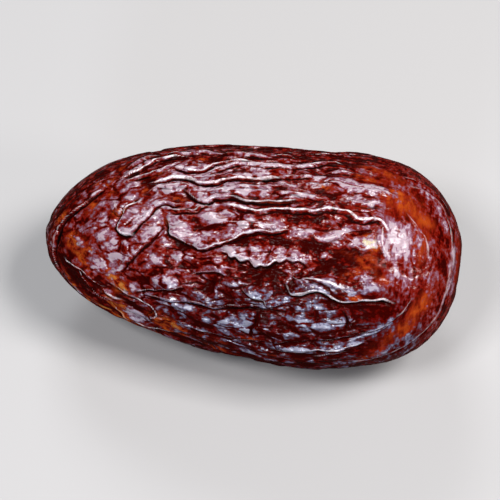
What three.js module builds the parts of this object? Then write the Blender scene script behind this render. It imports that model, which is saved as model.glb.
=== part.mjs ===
// A dried date lying on its side: one closed body with its shrunken skin in relief.
// Millimetres, +Z up. +X points to the stem end, and the blunt tip is at -X.
import * as THREE from "three";
import { mergeVertices } from "three/addons/utils/BufferGeometryUtils.js";

// Driving dimensions
const LENGTH = 40;
const WIDTH = 22;
const HEIGHT = 20.4;
const BELLY_X = 6; // the widest place, from mid length
const TIP_POWER = 2.2; // 2 would make an end elliptic, and more makes it blunter
const STEM_POWER = 2.35;
const BEND = 1.5; // how far the tip is bent back from the belly, sideways
const BEND_END = -13; // where the bend is complete
const LEAN = 0.05; // rise of the axis for each millimetre towards the stem end
const LEAN_X = 1.5; // where the body touches the surface
const SETTLE = 0.8; // how much of the underside is pressed flat

// Line of sight of the sheet that the folds are drawn on, above the horizontal
const SIGHT = THREE.MathUtils.degToRad(55);
const SHEET_MID = 0.35; // the sheet's y at the belly's axis

// Swells of the whole body
const SWELL_SIZE = 7;
const SWELL_LIFT = 0.32;

// Plates of skin between creases
const PLATE_LENGTH = 6.5;
const PLATE_WIDTH = 2.7;
const PLATE_WARP = 0.55;
const PLATE_LEVEL = 0.24;
const PLATE_RIM = 0.3;
const PLATE_CREASE = 0.95;
const SHARP = 6; // how quickly a plate's edge falls, in cells
const SOFT = 1.8;
const DRAWN_SHARE = 0.3; // what is left of the plates where the folds are drawn
const CALM_SHARE = 0.25; // and at both ends, where the skin is tight
const CALM_FROM = 9;
const CALM_TO = 15;
const TIP_CALM_FROM = -12;
const TIP_CALM_TO = -15.5;

// Sections of the drawn folds
const RIDGE_HALF = 0.55;
const GROOVE_HALF = 0.5;
const GROOVE_AWAY = 0.9; // from the line to the bottom of its groove
const SHELF_REACH = 1.5;
const SHELF_EDGE = 0.25;
const FOLD_REACH = 4.5;
const FOLD_TAPER = 1.4;
const FOLD_STEP = 0.4;

// Edge and thickness of the mounds
const SPOT_FLATNESS = 2.6;
const SPOT_DEPTH = 5;

// Scar where the stem cap sat, and the nib of the tip
const SCAR_RADIUS = 2.0;
const SCAR_DEPTH = 0.42;
const SCAR_RIM = 0.1;
const NIB_RADIUS = 0.8;
const NIB_HEIGHT = 0.15;

const DETAIL = 23; // 20 * (DETAIL + 1)^2 triangles
const SOFTEN_SHARE = 0.3;
const SEED = 7;

// Folds of the upper front face, as [x, y] on a sheet held square to the line of sight,
// with x along the fruit. A step raises the skin to the left of its path, or to the right
// where side is -1; a ridge is pinched up; a groove is pressed in.
const FOLDS = [
  // long folds under the top edge
  { kind: "ridge", lift: 0.35, crease: 0.25,
    path: [[-12.3, 8.2], [-11.2, 8.8], [-10, 9.3], [-8.5, 9.5], [-7, 9.6], [-5.5, 9.8], [-4.3, 9.95]] },
  { kind: "ridge", lift: 0.3, crease: 0.15,
    path: [[-3.6, 9.9], [-2.5, 9.8], [-1, 9.75], [0.5, 9.8], [2.5, 10.1], [3.5, 10]] },
  { kind: "step", lift: 0.3, crease: 0.35,
    path: [[-12.8, 7], [-11.6, 7.8], [-10.4, 8.5], [-9.6, 8.95], [-8.2, 9.15], [-6.8, 9.2]] },
  { kind: "ridge", lift: 0.3, crease: 0.2,
    path: [[-12.5, 6.7], [-11.6, 7.2], [-10.8, 7.6], [-10, 7.8], [-9, 7.9], [-8.3, 8.3], [-7.4, 8.8]] },
  { kind: "step", lift: 0.35, crease: 0.4,
    path: [[-9.9, 6.75], [-8.8, 6.95], [-7.6, 7.3], [-6.4, 7.35], [-5.4, 7.1], [-4.2, 6.95],
      [-3.2, 7.05], [-2, 7.35], [-1, 7.5], [0, 7.55], [1.2, 7.65], [2.4, 7.75]] },
  { kind: "step", lift: 0.25, crease: 0.35,
    path: [[-7.9, 8.2], [-6.8, 8.05], [-5.4, 8.1], [-4.4, 8.4], [-3.2, 8.85], [-2, 9.05],
      [-0.3, 9.1]] },
  { kind: "ridge", lift: 0.4, crease: 0.25,
    path: [[-4.6, 7.95], [-3.4, 8.3], [-2, 8.7], [-0.5, 8.7], [1, 8.65], [2.2, 8.9], [3.5, 9.05],
      [5, 9.25], [6.5, 9.55], [7.8, 9.5]] },
  { kind: "ridge", lift: 0.35, crease: 0.2,
    path: [[2.3, 7.9], [3.3, 8.05], [4.2, 8.2], [5, 8.1], [5.5, 7.8]] },
  { kind: "step", lift: 0.35, crease: 0.35,
    path: [[-6.6, 6.1], [-5.9, 5.8], [-5.3, 5.4], [-4.7, 5.15], [-4.1, 5.15], [-3.6, 5.45], [-2.8, 5.6],
      [-1.8, 5.55], [-0.6, 5.3], [0.6, 5.2], [2, 5.35], [4, 5.5]] },
  { kind: "ridge", lift: 0.3, crease: 0.15,
    path: [[-9.8, 6], [-9.1, 6.4], [-8, 6.5], [-7, 6.7], [-5.8, 6.5]] },
  { kind: "ridge", lift: 0.28, crease: 0.12,
    path: [[-4, 6.2], [-2.4, 6.4], [-1, 6.7], [0.4, 6.8], [1.6, 6.75], [2.8, 6.9], [3.2, 7.3]] },
  { kind: "ridge", lift: 0.25, crease: 0.15, path: [[2.9, 6.3], [3.8, 6.3], [5, 6.1], [6.6, 6]] },
  { kind: "step", side: -1, lift: 0.3, crease: 0.25,
    path: [[6.4, 7.6], [7.6, 7.55], [9, 7.35], [10.4, 7.1], [11.8, 7.05], [13.1, 6.75]] },
  { kind: "ridge", lift: 0.2, crease: 0.15,
    path: [[8.7, 6.1], [9.5, 5.7], [10.4, 5.45], [11.4, 5.65], [12.1, 5.6]] },
  { kind: "ridge", lift: 0.2, crease: 0.1, path: [[6.8, 8.6], [8.2, 8.7], [9.7, 8.6]] },
  { kind: "ridge", lift: 0.2, crease: 0.1, path: [[2.5, 10.5], [4, 10.45], [6, 10.55], [8.6, 10.6]] },
  // the long crest across the middle, and what runs into it from the left
  { kind: "ridge", lift: 0.5, crease: 0.22,
    path: [[-2.5, 5.05], [-1.4, 4.8], [-0.4, 4.55], [0.8, 4.45], [2, 4.65], [3.3, 4.75], [4.6, 4.7],
      [5.8, 4.75], [7.1, 5], [8.1, 4.9], [9, 4.7], [9.6, 4.4], [10.1, 4.15], [11.4, 4.25], [12.2, 3.95],
      [12.7, 3.4]] },
  { kind: "ridge", lift: 0.25, crease: 0.1,
    path: [[12.2, 3.8], [12.3, 3.1], [12.3, 2.5], [12.6, 1.7], [13.1, 1.1]] },
  { kind: "ridge", lift: 0.3, crease: 0.25,
    path: [[-7.6, 4.35], [-7, 4.2], [-6.2, 4.25], [-5.3, 4.25], [-4.8, 4.75], [-4.1, 5]] },
  { kind: "groove", lift: 0.15, crease: 0.45,
    path: [[-11.1, 1.55], [-10.6, 2.2], [-10.1, 2.9], [-9.6, 3.6], [-9.1, 4.3], [-8.6, 4.75], [-8, 4.8],
      [-7.4, 4.6], [-6.8, 4.55]] },
  { kind: "step", lift: 0.35, crease: 0.3,
    path: [[-11, 5.2], [-11.8, 4.6], [-12.3, 3.9], [-12.5, 3.3], [-12.65, 2.6], [-12.5, 1.9],
      [-11.9, 1.55], [-11.2, 1.55]] },
  { kind: "ridge", lift: 0.3, crease: 0.15,
    path: [[-13.5, 4.5], [-13.2, 4], [-12.8, 3.8], [-12.2, 4.2], [-11.4, 5.1]] },
  { kind: "groove", lift: 0.1, crease: 0.2,
    path: [[-12.2, -2.2], [-11.5, -1.5], [-10.8, -0.8], [-10.2, 0], [-9.6, 0.7], [-9, 1.4], [-8.5, 2.1],
      [-8.2, 2.7]] },
  { kind: "step", lift: 0.5, crease: 0.42,
    path: [[-8.1, 3.6], [-7.8, 2.8], [-7.4, 2.1], [-6.9, 1.6], [-6.2, 1.3], [-5.3, 0.95], [-4.5, 0.7],
      [-3.8, 0.75], [-3, 1], [-2, 1.35], [-1.2, 1.7], [-0.6, 2.15], [0.2, 2.45], [1.2, 2.6],
      [2.3, 2.55], [3.7, 2.75]] },
  { kind: "ridge", lift: 0.2, crease: 0.1,
    path: [[-4.4, 4], [-3, 3.4], [-1.6, 3.3], [0, 3.3], [1.6, 3.2], [3, 3.1]] },
  // middle and lower plates
  { kind: "step", lift: 0.36, crease: 0.3,
    path: [[-2.4, 0.4], [-1.8, 0.35], [-1.4, 0.05], [-0.9, 0.1], [-0.5, -0.25], [0.1, -0.1], [0.5, -0.4],
      [0.9, -0.7], [1.4, -0.45], [1.9, -0.65], [2.4, -0.5], [2.8, -0.1], [3.3, -0.2], [3.8, 0.1],
      [4.4, -0.1], [4.9, -0.05], [5.6, -0.5]] },
  { kind: "ridge", lift: 0.15, crease: 0.1,
    path: [[4.2, 2.5], [5.6, 2.9], [6.6, 2.3], [7.6, 2.4], [8.6, 2.7], [9.3, 2.5], [10, 1.8],
      [10.8, 1.4], [11.8, 1.7]] },
  { kind: "step", lift: 0.25, crease: 0.25,
    path: [[-5, -1.8], [-4.2, -1.5], [-3.4, -1.4], [-2.6, -1.6], [-1.8, -1.8]] },
  { kind: "ridge", lift: 0.25, crease: 0.15, path: [[-1.8, -2.4], [-0.9, -2.6], [0, -2.5]] },
  { kind: "step", lift: 0.38, crease: 0.35,
    path: [[0, -3.1], [0.6, -3.7], [1.3, -3.8], [1.9, -3.9], [2.3, -4.4], [3, -4.4], [3.6, -3.9]] },
  { kind: "step", lift: 0.48, crease: 0.42,
    path: [[4, -2.4], [4.4, -3.05], [5.3, -3.15], [6.1, -2.9], [6.8, -2.7], [7.6, -2.95], [8.4, -3.4],
      [9.2, -3.55], [10.2, -3.45], [11.3, -3.25], [12.4, -3.2], [13.8, -3.4]] },
  { kind: "ridge", lift: 0.28, crease: 0.15,
    path: [[4.2, -1.4], [5, -1.8], [6, -1.5], [7.2, -1.6], [8.2, -1.9], [9, -2.3], [9.7, -2.7]] },
  { kind: "step", lift: 0.35, crease: 0.35,
    path: [[-10.2, -3.7], [-9.2, -3.5], [-8, -3.45], [-7, -3.3], [-6, -3]] },
  { kind: "groove", lift: 0.12, crease: 0.3,
    path: [[-9.8, -4], [-8, -4.4], [-6, -4.6], [-4, -4.9], [-2, -5], [0, -4.9], [2, -4.9], [4, -4.9]] },
  { kind: "groove", lift: 0.15, crease: 0.3, path: [[1.5, -4.9], [1.3, -6], [0.9, -6.8], [0.8, -7.7]] },
  { kind: "groove", lift: 0.06, crease: 0.25, path: [[9.3, -4.5], [9.8, -5.4], [9.9, -6.6]] },
  { kind: "step", lift: 0.32, crease: 0.45,
    path: [[-6.4, -6.2], [-5, -6.8], [-3.6, -7.25], [-2.2, -7.5], [-0.8, -7.75], [0.6, -7.9], [2.4, -8],
      [4.2, -7.8], [6, -7.6], [8, -7.35], [9.6, -7], [11, -6.6], [12.4, -6], [13.6, -5.2],
      [14.6, -4.2]] },
  { kind: "ridge", lift: 0.32, crease: 0.15,
    path: [[3.1, -8.75], [4.6, -8.6], [6.2, -8.45], [7.8, -8.2], [9.2, -7.95], [10.4, -7.65],
      [11.6, -7.3]] },
  { kind: "ridge", lift: 0.2, crease: 0.1, path: [[7.2, -9], [8.4, -8.6], [9.6, -8.5]] },
  // folds that round the two ends
  { kind: "ridge", lift: 0.32, crease: 0.2,
    path: [[-17.8, -1], [-16.6, -1.7], [-15.6, -2.1], [-14.8, -2.6], [-14.1, -3.1], [-13.5, -3.7],
      [-12.9, -4.2], [-11.8, -4.8]] },
  { kind: "ridge", lift: 0.4, crease: 0.25,
    path: [[-16.4, -2.1], [-15.4, -2.8], [-14.7, -3.4], [-14.2, -4], [-13.5, -4.7]] },
  { kind: "ridge", lift: 0.32, crease: 0.25,
    path: [[-12.6, -3.3], [-11.4, -3.9], [-10.2, -4.4], [-9.3, -4.9], [-8.7, -5.4], [-8.5, -6],
      [-9.2, -6.6]] },
  { kind: "ridge", lift: 0.28, crease: 0.2,
    path: [[-13.1, -5], [-12.3, -5.7], [-11.4, -6.3], [-10.2, -6.8], [-8.6, -7.3], [-6.6, -7.7]] },
  { kind: "step", side: -1, lift: 0.22, crease: 0.32,
    path: [[-14.7, 5.9], [-15.6, 5.1], [-16.4, 4.4], [-17.2, 3.8], [-18, 3], [-18.6, 2], [-19, 1],
      [-19.1, 0], [-18.9, -1], [-18.4, -2.1]] },
  { kind: "ridge", lift: 0.14, crease: 0.12,
    path: [[-14.6, 7.1], [-15.8, 6.1], [-17, 5.1], [-17.8, 4.2], [-18.5, 3.3], [-19.2, 2.2]] },
  { kind: "ridge", side: -1, lift: 0.09, crease: 0.1,
    path: [[14.4, 7.8], [16, 7.2], [17, 6.6], [17.7, 5.9], [18.2, 4.9], [18.6, 3.6], [18.9, 2],
      [19, 0.2], [18.9, -1.6], [18.6, -3.2], [17.9, -4.7], [17, -5.9], [15.8, -7], [14.3, -8],
      [12.4, -8.8], [10.4, -9.4]] },
  { kind: "ridge", lift: 0.12, crease: 0.05,
    path: [[14.6, 4.8], [15.4, 4], [16.1, 3.1], [16.6, 2.2], [16.8, 1.2]] },
  { kind: "ridge", lift: 0.16, crease: 0.1,
    path: [[10.8, -6.9], [12.2, -6.3], [13.6, -5.3], [14.8, -4.2], [15.6, -3.1]] },
];

// Mounds of puffed skin on the same sheet, as x, y, length, width, degrees of turn and lift
const MOUNDS = [
  // plates behind the tip
  [-11.2, 3.3, 4.2, 1.8, 52, 0.22],
  [-12.3, 4.9, 2.6, 1.1, 45, 0.15],
  [-9.1, 5.6, 1.7, 1.3, 20, 0.15],
  [-9.9, 1.9, 4.6, 1.6, 52, 0.12],
  [-8.3, 0.6, 3.5, 1.2, 62, 0.12],
  [-14.5, 1, 2.6, 1.5, -10, 0.12],
  [-12.4, 0.3, 3.2, 1.5, -20, 0.15],
  // long bands under the top edge
  [-5.2, 6.3, 3.2, 0.8, -12, 0.12],
  [-1.2, 8.6, 6.4, 0.8, 5, 0.15],
  [-1.4, 6.2, 5.2, 1.3, 6, 0.2],
  [4.4, 6.1, 3.6, 0.9, -4, 0.15],
  [9.3, 7.3, 5.6, 1.5, -8, 0.25],
  [9.6, 5.9, 2, 0.8, -5, 0.12],
  // a plate under the tip
  [-10.1, -6.2, 2.2, 1.7, -25, 0.14],
  // the belly under the long crest
  [-4, 4.2, 1.5, 1.1, -40, 0.12],
  [-6.3, 2.4, 1.8, 1.4, -45, 0.15],
  [-4.3, 1.5, 3.6, 1.1, -5, 0.15],
  [1, 3.1, 4.8, 0.9, -3, 0.2],
  [4.9, 2.6, 1.6, 0.8, 20, 0.15],
  [7, 2.6, 2.6, 0.8, -18, 0.18],
  [8.7, 2.7, 1.4, 1.1, 10, 0.18],
  [11.4, 2.2, 1.4, 1.3, 20, 0.22],
  [13.9, 2.35, 3.2, 2.7, -60, 0.12],
  // the row of lumps across the middle
  [-0.9, 0.3, 2.4, 1, -12, 0.3],
  [1.2, 0.3, 1.8, 1.3, -5, 0.28],
  [3, 0.4, 1.9, 1.4, 5, 0.28],
  [4.8, 0.4, 1.8, 1.3, -20, 0.3],
  [1.4, -1.3, 5, 0.9, -4, -0.22],
  [8.2, -0.4, 3.4, 0.9, -6, -0.15],
  [-5.3, 0, 1.8, 0.9, -4, 0.15],
  [-2.6, -0.9, 2.9, 1.5, -25, 0.28],
  [0.9, -3.3, 1.6, 1.1, -15, 0.26],
  [2.6, -4.1, 1.6, 1.2, 10, 0.26],
  [-7.7, -2.6, 2.8, 1.2, 2, 0.28],
  [-5.3, -3.3, 1.6, 0.9, -35, 0.18],
  [-3.6, -4.3, 2.4, 0.8, -38, 0.2],
  [9.6, -2.5, 2.8, 1.2, -16, 0.22],
  [6.4, -2.2, 3.4, 1.2, -2, 0.22],
  [11.4, -1.3, 2.2, 1.2, -40, 0.18],
  // blue-grey plates low down
  [-5.2, -5.3, 4.6, 0.9, -15, 0.24],
  [-1.5, -6, 2.2, 1.2, -8, 0.24],
  [2.8, -6.8, 3.4, 1.4, -3, 0.28],
  [6.4, -6, 4, 1.2, -4, 0.26],
  [7, -4.4, 4.2, 0.9, -5, 0.15],
  [8.9, -5.7, 1.8, 0.8, 20, 0.12],
];

// Small functions used all over
const bell = (t) => Math.exp(-t * t);
const fade = (t) => t * t * (3 - 2 * t);
const ramp = (from, to, v) => fade(Math.min(1, Math.max(0, (v - from) / (to - from))));

// A repeatable number from 0 to 1 for each cell of a lattice
function cellNumber(i, j, k, seed) {
  let h = Math.imul(i, 374761393) ^ Math.imul(j, 668265263);
  h ^= Math.imul(k, 1274126177) ^ Math.imul(seed, 1442695041);
  h = Math.imul(h ^ (h >>> 13), 1274126177);
  h = Math.imul(h ^ (h >>> 15), 668265263);
  return ((h ^ (h >>> 16)) >>> 0) / 4294967296;
}

// Smooth noise from -1 to 1
function noise(p, seed) {
  const low = p.map(Math.floor);
  const part = p.map((v, axis) => fade(v - low[axis]));
  let sum = 0;
  for (let corner = 0; corner < 8; corner++) {
    const step = [corner & 1, (corner >> 1) & 1, corner >> 2];
    const share = step.reduce((s, on, axis) => s * (on ? part[axis] : 1 - part[axis]), 1);
    sum += share * cellNumber(low[0] + step[0], low[1] + step[1], low[2] + step[2], seed);
  }
  return 2 * sum - 1;
}

// Girth at x as a share of the belly's
function girth(x) {
  const towardsTip = x < BELLY_X;
  const reach = towardsTip ? LENGTH / 2 + BELLY_X : LENGTH / 2 - BELLY_X;
  const power = towardsTip ? TIP_POWER : STEM_POWER;
  const past = Math.min(1, Math.abs(x - BELLY_X) / reach);
  return Math.pow(1 - Math.pow(past, power), 1 / power);
}

// How far the axis at x stands back from the belly's
function bow(x) {
  return BEND * ramp(BELLY_X, BEND_END, x);
}

// A point of the smooth body, where turn goes round the axis from +Y towards +Z
function bodyPoint(x, turn) {
  const g = girth(x);
  const rise = HEIGHT / 2 - SETTLE + LEAN * (x - LEAN_X);
  return new THREE.Vector3(
    x,
    bow(x) + (WIDTH / 2) * g * Math.cos(turn),
    rise + (HEIGHT / 2) * g * Math.sin(turn),
  );
}

// Where a point of the sheet falls on the body
const EDGE_TURN = Math.atan2(HEIGHT * Math.cos(SIGHT), WIDTH * Math.sin(SIGHT));
const HALF_SEEN = Math.hypot(HEIGHT * Math.cos(SIGHT), WIDTH * Math.sin(SIGHT)) / 2;
function sheetTurn(x, y) {
  const mid = SHEET_MID + bow(x) * Math.sin(SIGHT);
  const across = (y - mid) / (HALF_SEEN * Math.max(girth(x), 1e-6));
  return EDGE_TURN + Math.acos(THREE.MathUtils.clamp(across, -1, 1));
}

// Place in the skin's own lattice: it runs on over both ends without a seam
function skinPlace(x, turn, length, width) {
  const round = (WIDTH / 2 / width) * Math.sqrt(girth(x));
  return [x / length, round * Math.cos(turn), round * Math.sin(turn)];
}

// Plates with soft edges: their level, the rim that stands over a lower neighbour, and the creases
function plates(x, turn) {
  const still = skinPlace(x, turn, PLATE_LENGTH, PLATE_WIDTH);
  const place = still.map((v, axis) => v + PLATE_WARP * noise(still.map((w) => w * 0.8), SEED + axis));
  const low = place.map(Math.floor);
  const cells = [];
  for (let i = -1; i <= 1; i++) {
    for (let j = -1; j <= 1; j++) {
      for (let k = -1; k <= 1; k++) {
        const cell = [low[0] + i, low[1] + j, low[2] + k];
        const away = cell.map((c, axis) => c + cellNumber(...cell, SEED + 10 + axis) - place[axis]);
        const level = 2 * cellNumber(...cell, SEED + 20) - 1;
        cells.push({ square: away.reduce((s, v) => s + v * v, 0), level });
      }
    }
  }
  const nearest = Math.min(...cells.map((c) => c.square));
  const [sharp, soft] = [SHARP, SOFT].map((keen) => {
    let [sum, level, squares] = [0, 0, 0];
    for (const cell of cells) {
      const weight = Math.exp(-keen * (cell.square - nearest));
      sum += weight;
      level += weight * cell.level;
      squares += weight * weight;
    }
    return { level: level / sum, crease: 1 - squares / (sum * sum) };
  });
  const rim = sharp.level - soft.level;
  return PLATE_LEVEL * sharp.level + PLATE_RIM * rim - PLATE_CREASE * (sharp.crease + soft.crease) / 2;
}

// A drawn fold as points on the body, with its direction and the way across it
function layFold(fold) {
  const curve = new THREE.CatmullRomCurve3(
    fold.path.map(([x, y]) => new THREE.Vector3(x, y, 0)), false, "catmullrom", 0.5);
  const steps = Math.ceil(curve.getLength() / FOLD_STEP);
  const points = curve.getPoints(steps).map((p) => bodyPoint(p.x, sheetTurn(p.x, p.y)));
  const marks = points.map((point, i) => {
    const along = points[Math.min(i + 1, steps)].clone().sub(points[Math.max(i - 1, 0)]).normalize();
    const outward = point.clone().sub(bodyPoint(point.x, 0).setY(0).setZ(HEIGHT / 2)).setX(0);
    const across = outward.cross(along).normalize();
    return { point, along, across, run: 0 };
  });
  for (let i = 1; i <= steps; i++) {
    marks[i].run = marks[i - 1].run + marks[i].point.distanceTo(marks[i - 1].point);
  }
  return { ...fold, side: fold.side ?? 1, marks, length: marks[steps].run };
}

const LAID_FOLDS = FOLDS.map(layFold);

// Height of a fold's section at a signed distance from its line
function foldSection(fold, d) {
  if (fold.kind === "ridge") {
    const grooves = bell((d - GROOVE_AWAY) / GROOVE_HALF) + bell((d + GROOVE_AWAY) / GROOVE_HALF);
    return fold.lift * bell(d / RIDGE_HALF) - fold.crease * grooves;
  }
  if (fold.kind === "groove") {
    const shoulders = bell((d - GROOVE_AWAY) / RIDGE_HALF) + bell((d + GROOVE_AWAY) / RIDGE_HALF);
    return fold.lift * shoulders - fold.crease * bell(d / GROOVE_HALF);
  }
  const inside = d * fold.side;
  const shelf = Math.exp(-Math.max(inside, 0) / SHELF_REACH) / (1 + Math.exp(-inside / SHELF_EDGE));
  const rim = bell((inside - RIDGE_HALF / 2) / RIDGE_HALF);
  const groove = bell((inside + GROOVE_AWAY * 0.7) / GROOVE_HALF);
  return fold.lift * (0.65 * shelf + 0.35 * rim) - fold.crease * groove;
}

// What all drawn folds add at a point of the smooth body
function foldsAt(point) {
  let height = 0;
  for (const fold of LAID_FOLDS) {
    let [best, mark] = [FOLD_REACH ** 2, null];
    for (const candidate of fold.marks) {
      const square = candidate.point.distanceToSquared(point);
      if (square < best) [best, mark] = [square, candidate];
    }
    if (!mark) continue;
    const away = point.clone().sub(mark.point);
    const run = mark.run + away.dot(mark.along);
    const taper = ramp(0, FOLD_TAPER, Math.min(run + FOLD_TAPER / 3, fold.length - run + FOLD_TAPER / 3));
    height += taper * foldSection(fold, away.dot(mark.across));
  }
  return height;
}

// A mound on the body: its middle, the way up the sheet, and the way out of the skin
function layMound([x, y, length, width, degrees, lift]) {
  const middle = bodyPoint(x, sheetTurn(x, y));
  const up = bodyPoint(x, sheetTurn(x, y + 0.05)).sub(middle).normalize();
  const outward = new THREE.Vector3(1, 0, 0).cross(up);
  return { middle, up, outward, length, width, lift, turn: THREE.MathUtils.degToRad(degrees) };
}

const LAID_MOUNDS = MOUNDS.map(layMound);

// What the mounds add at a point of the smooth body
function moundsAt(point) {
  let height = 0;
  for (const { middle, up, outward, length, width, lift, turn } of LAID_MOUNDS) {
    const away = point.clone().sub(middle);
    if (Math.abs(away.dot(outward)) > SPOT_DEPTH) continue;
    const across = away.dot(up);
    const longWay = (away.x * Math.cos(turn) + across * Math.sin(turn)) / (length / 2);
    const shortWay = (across * Math.cos(turn) - away.x * Math.sin(turn)) / (width / 2);
    height += lift * Math.exp(-0.7 * Math.hypot(longWay, shortWay) ** SPOT_FLATNESS);
  }
  return height;
}

// Stem scar at one end and nib at the other, by distance from the axis
function endsAt(x, radius) {
  if (x > BELLY_X) {
    const dish = -SCAR_DEPTH * bell((radius / SCAR_RADIUS) ** 2);
    return dish + SCAR_RIM * bell((radius - 1.4 * SCAR_RADIUS) / (0.45 * SCAR_RADIUS));
  }
  return x < -LENGTH / 4 ? NIB_HEIGHT * bell((radius / NIB_RADIUS) ** 2) : 0;
}

// Relief of the skin over the smooth body
function relief(x, turn, point) {
  const swell = SWELL_LIFT * noise(point.toArray().map((v) => v / SWELL_SIZE), SEED + 30);
  const drawn = 1 - (1 - DRAWN_SHARE) * ramp(-0.7, -0.1, Math.sin(turn - EDGE_TURN));
  const tight = Math.max(ramp(CALM_FROM, CALM_TO, x), ramp(TIP_CALM_FROM, TIP_CALM_TO, x));
  const calm = 1 - (1 - CALM_SHARE) * tight;
  const raised = swell + foldsAt(point) + moundsAt(point) + endsAt(x, (WIDTH / 2) * girth(x));
  return raised + drawn * calm * plates(x, turn);
}

// Heights at the corners of a mesh, each drawn some way to the mean of its neighbours
function softened(heights, index) {
  const sums = heights.map(() => [0, 0]);
  for (let i = 0; i < index.count; i++) {
    const here = index.getX(i);
    const next = index.getX(i % 3 === 2 ? i - 2 : i + 1);
    sums[here][0] += heights[next];
    sums[here][1] += 1;
  }
  return heights.map((height, i) => height + SOFTEN_SHARE * (sums[i][0] / sums[i][1] - height));
}

// The body starts as a ball of even triangles
function buildDate() {
  const ball = new THREE.IcosahedronGeometry(1, DETAIL);
  ball.deleteAttribute("normal");
  ball.deleteAttribute("uv");
  const geometry = mergeVertices(ball, 1e-5);
  const position = geometry.getAttribute("position");
  const places = [];
  for (let i = 0; i < position.count; i++) {
    const x = THREE.MathUtils.clamp(position.getX(i), -1, 1) * (LENGTH / 2);
    const turn = Math.atan2(position.getZ(i), position.getY(i));
    const point = bodyPoint(x, turn);
    places.push({ point, height: relief(x, turn, point) });
    position.setXYZ(i, point.x, point.y, point.z);
  }
  geometry.computeVertexNormals();
  const normal = geometry.getAttribute("normal");
  const heights = softened(places.map(({ height }) => height), geometry.getIndex());
  places.forEach(({ point }, i) => {
    const outward = new THREE.Vector3().fromBufferAttribute(normal, i);
    const skin = point.clone().addScaledVector(outward, heights[i]);
    position.setXYZ(i, skin.x, skin.y, Math.max(0, skin.z));
  });
  geometry.computeBoundingBox();
  const { min, max } = geometry.boundingBox;
  geometry.translate(-(min.x + max.x) / 2, -(min.y + max.y) / 2, 0);
  geometry.computeVertexNormals();
  return geometry;
}

const skin = new THREE.MeshStandardMaterial({ color: 0x3a1410, roughness: 0.35, metalness: 0 });
const date = new THREE.Mesh(buildDate(), skin);
date.name = "date";

const fruit = new THREE.Group();
fruit.add(date);

export default fruit;
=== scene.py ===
"""A dried date with wrinkled, glossy skin, lying on a pale floor."""

import math
from typing import NamedTuple

import bpy
import numpy as np
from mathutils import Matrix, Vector


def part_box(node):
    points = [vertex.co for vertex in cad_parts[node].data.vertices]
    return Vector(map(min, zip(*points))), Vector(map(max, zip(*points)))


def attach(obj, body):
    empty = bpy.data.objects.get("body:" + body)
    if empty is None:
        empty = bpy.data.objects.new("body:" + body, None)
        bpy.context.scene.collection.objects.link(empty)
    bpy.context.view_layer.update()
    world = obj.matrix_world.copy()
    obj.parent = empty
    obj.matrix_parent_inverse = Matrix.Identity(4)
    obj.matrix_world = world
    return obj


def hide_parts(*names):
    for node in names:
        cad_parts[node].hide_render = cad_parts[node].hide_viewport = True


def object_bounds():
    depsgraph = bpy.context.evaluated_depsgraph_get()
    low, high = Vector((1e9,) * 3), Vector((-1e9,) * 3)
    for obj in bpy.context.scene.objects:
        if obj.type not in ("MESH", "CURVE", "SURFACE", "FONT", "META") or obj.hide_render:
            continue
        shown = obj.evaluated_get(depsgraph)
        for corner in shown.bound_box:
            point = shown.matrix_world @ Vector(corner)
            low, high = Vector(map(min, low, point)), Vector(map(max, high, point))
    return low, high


bl_info = {
    "name": "Dried Date",
    "version": (1, 0, 0),
    "blender": (4, 5, 0),
    "location": "3D View > Sidebar > Dried Date",
    "description": "Wrinkled dried date over its packed model, with a pale floor, lights and a camera",
    "category": "Add Mesh",
}

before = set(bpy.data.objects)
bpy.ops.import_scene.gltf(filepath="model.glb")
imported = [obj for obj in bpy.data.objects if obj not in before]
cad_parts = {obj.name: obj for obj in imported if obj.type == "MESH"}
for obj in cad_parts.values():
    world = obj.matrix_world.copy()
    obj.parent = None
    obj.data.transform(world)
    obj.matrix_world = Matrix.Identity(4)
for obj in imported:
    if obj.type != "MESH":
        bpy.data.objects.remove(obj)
MODEL_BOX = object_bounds()

NODE = "date"
BODY = "root"

# Driving dimensions of the fruit, in millimetres, as in its solid
LENGTH = 40.0
WIDTH = 22.0
HEIGHT = 20.4
BELLY_X = 6.0
TIP_POWER = 2.2
STEM_POWER = 2.35
BEND = 1.5
BEND_END = -13.0
LEAN = 0.05
LEAN_X = 1.5
SETTLE = 0.8

# Line of sight of the sheet that the folds are drawn on, and of the camera
SIGHT = math.radians(55)
SIGHT_TURN = math.radians(6)
SHEET_MID = 0.35
EDGE_TURN = math.atan2(HEIGHT * math.cos(SIGHT), WIDTH * math.sin(SIGHT))
HALF_SEEN = math.hypot(HEIGHT * math.cos(SIGHT), WIDTH * math.sin(SIGHT)) / 2
THINNEST = 1e-6

# Seeds of the noise. The middles and levels of plates count on from the seed of their plates
SEED = 7
MIDDLES = 10
LEVELS = 20
SWELL_SEED = SEED + 30
WOBBLE_SEED = SEED + 40
FINE_WOBBLE_SEED = SEED + 44
WRINKLE_SEED = SEED + 50
GRAIN_SEED = SEED + 60
STRONG_SEED = SEED + 70
WORN_SEED = SEED + 71
DEEP_SEED = SEED + 72
THICK_SEED = SEED + 73

# Large odd numbers that stir the place of a cell into a number that looks random
STIR_X = np.uint32(374761393)
STIR_Y = np.uint32(668265263)
STIR_Z = np.uint32(1274126177)
STIR_SEED = 1442695041
STIR_RANGE = 2**32

# Swells of the whole body
SWELL_SIZE = 7.0
SWELL_LIFT = 0.32

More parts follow.
